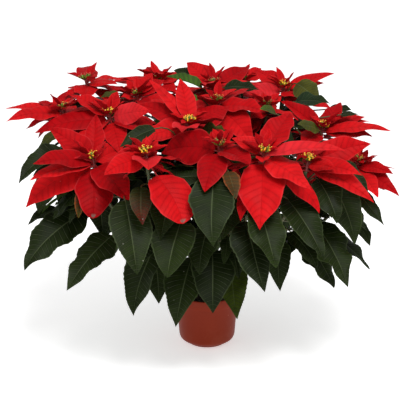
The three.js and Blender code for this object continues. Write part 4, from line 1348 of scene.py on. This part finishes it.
def add_small_leaves(heads, space, rng):
    """Leaves down the branches, flat near the heads and hanging lower down."""
    limits = dict(front=-170, lowest=180, bottom=90, slope=0.45)
    filler = Filler(heads, space, rng, **limits, widths=(0.48, 0.58), roll=15)
    for head in heads.values():
        start = rng.uniform(0, 360)
        for k in range(MORE_LEAVES):
            reach, length = rng.uniform(26, 48), rng.uniform(85, 130)
            pitch = -2 - 3.2 * k + rng.uniform(-10, 10)
            filler.add(head, LAST_BUD - 0.9 * k, start + GOLDEN * k, pitch, reach, length)


def add_filling_leaves(heads, space, rng):
    """Leaves at random down all branches, hanging, so that the plant is dense inside."""
    limits = dict(front=-150, lowest=190, bottom=110, slope=0.5)
    filler = Filler(heads, space, rng, **limits, widths=(0.5, 0.62), roll=30)
    for head in heads.values():
        for k in range(FILLING_LEAVES):
            step = rng.uniform(7, 22) if k % 2 else rng.uniform(18, 23)
            az, pitch = rng.uniform(0, 360), rng.uniform(-60, 10) if k % 2 else rng.uniform(-25, 15)
            filler.add(head, step, az, pitch, rng.uniform(20, 50), rng.uniform(50, 115))


def nearest_starts(heads, base, most):
    """The places on the branches behind a leaf's base that are nearest to it."""
    starts = []
    for head in heads.values():
        buds = head.line[FIRST_BUD : LAST_BUD + 1]
        lengths = np.linalg.norm(buds - base, axis=1)
        k = int(np.argmin(lengths))
        for j in (k, max(0, k - 3)):
            if 12 < lengths[j] < 1.6 * LONGEST_STALK and buds[j][1] > base[1] - 5:
                starts.append((lengths[j], head, j + FIRST_BUD))
    return [(head, k) for _, head, k in sorted(starts, key=lambda start: start[0])[:most]]


def add_listed_leaf(heads, space, row, rng):
    """Puts a listed leaf that the frame has no room for as near its place as it goes."""
    x, y, z, *rest = row
    for dx, dy, dz in SHIFTS:
        shifted = (x + dx, y + dy, z + dz, *rest)
        for head, k in stalk_starts(heads, shifted, 5) + nearest_starts(heads, shifted[:3], 6):
            blade = leaf_of(shifted, head, k)
            blade.name = leaf_name(row)
            if squeeze(blade, head.small_leaves, space, rng, leaf_look):
                head.taken.add(k)
                return


# ---- putting it together

CAD_SEED, LOOKS_SEED = 2023, 2


def find_blades():
    """The heads on their branches with the CAD's blades, and the listed leaves that it has no room for."""
    heads = {name: Head(name, row) for name, row in HEADS.items()}
    outward = sorted(heads.values(), key=lambda h: -math.hypot(h.at[0], h.at[1]))
    for i, head in enumerate(outward):
        head.grow(remap(i, 0, len(outward) - 1, BRANCH_LOW_Z, BRANCH_HIGH_Z))
    draw = Draw(CAD_SEED)
    find_listed_bracts(heads)
    lost = [row for row in LEAVES if not find_leaf(heads, row, 10)]
    find_more_bracts(heads, draw)
    find_more_leaves(heads, draw)
    return heads, lost


def main():
    heads, lost = find_blades()
    rng = np.random.default_rng(LOOKS_SEED)
    space = obstacles(heads)
    for head in heads.values():
        head.bracts = [(blade, settle(blade, space, rng, bract_look)) for blade in head.bracts]
    for head in heads.values():
        head.leaves = [(blade, settle(blade, space, rng, leaf_look)) for blade in head.leaves]
    for row in lost + EXTRA_LEAVES:
        add_listed_leaf(heads, space, row, rng)
    for head in heads.values():
        add_small_bracts(head, space, rng)
    add_small_leaves(heads, space, rng)
    add_filling_leaves(heads, space, rng)
    finish = finishes()
    pot_piece(finish)
    soil_piece(finish, rng)
    trunk_piece(finish)
    for index, head in enumerate(heads.values()):
        foliage(head, finish)
        rosette(head, finish)
        undergrowth(head, finish)
        flowers(head, index, finish, rng)
    stage()
    studio()


main()
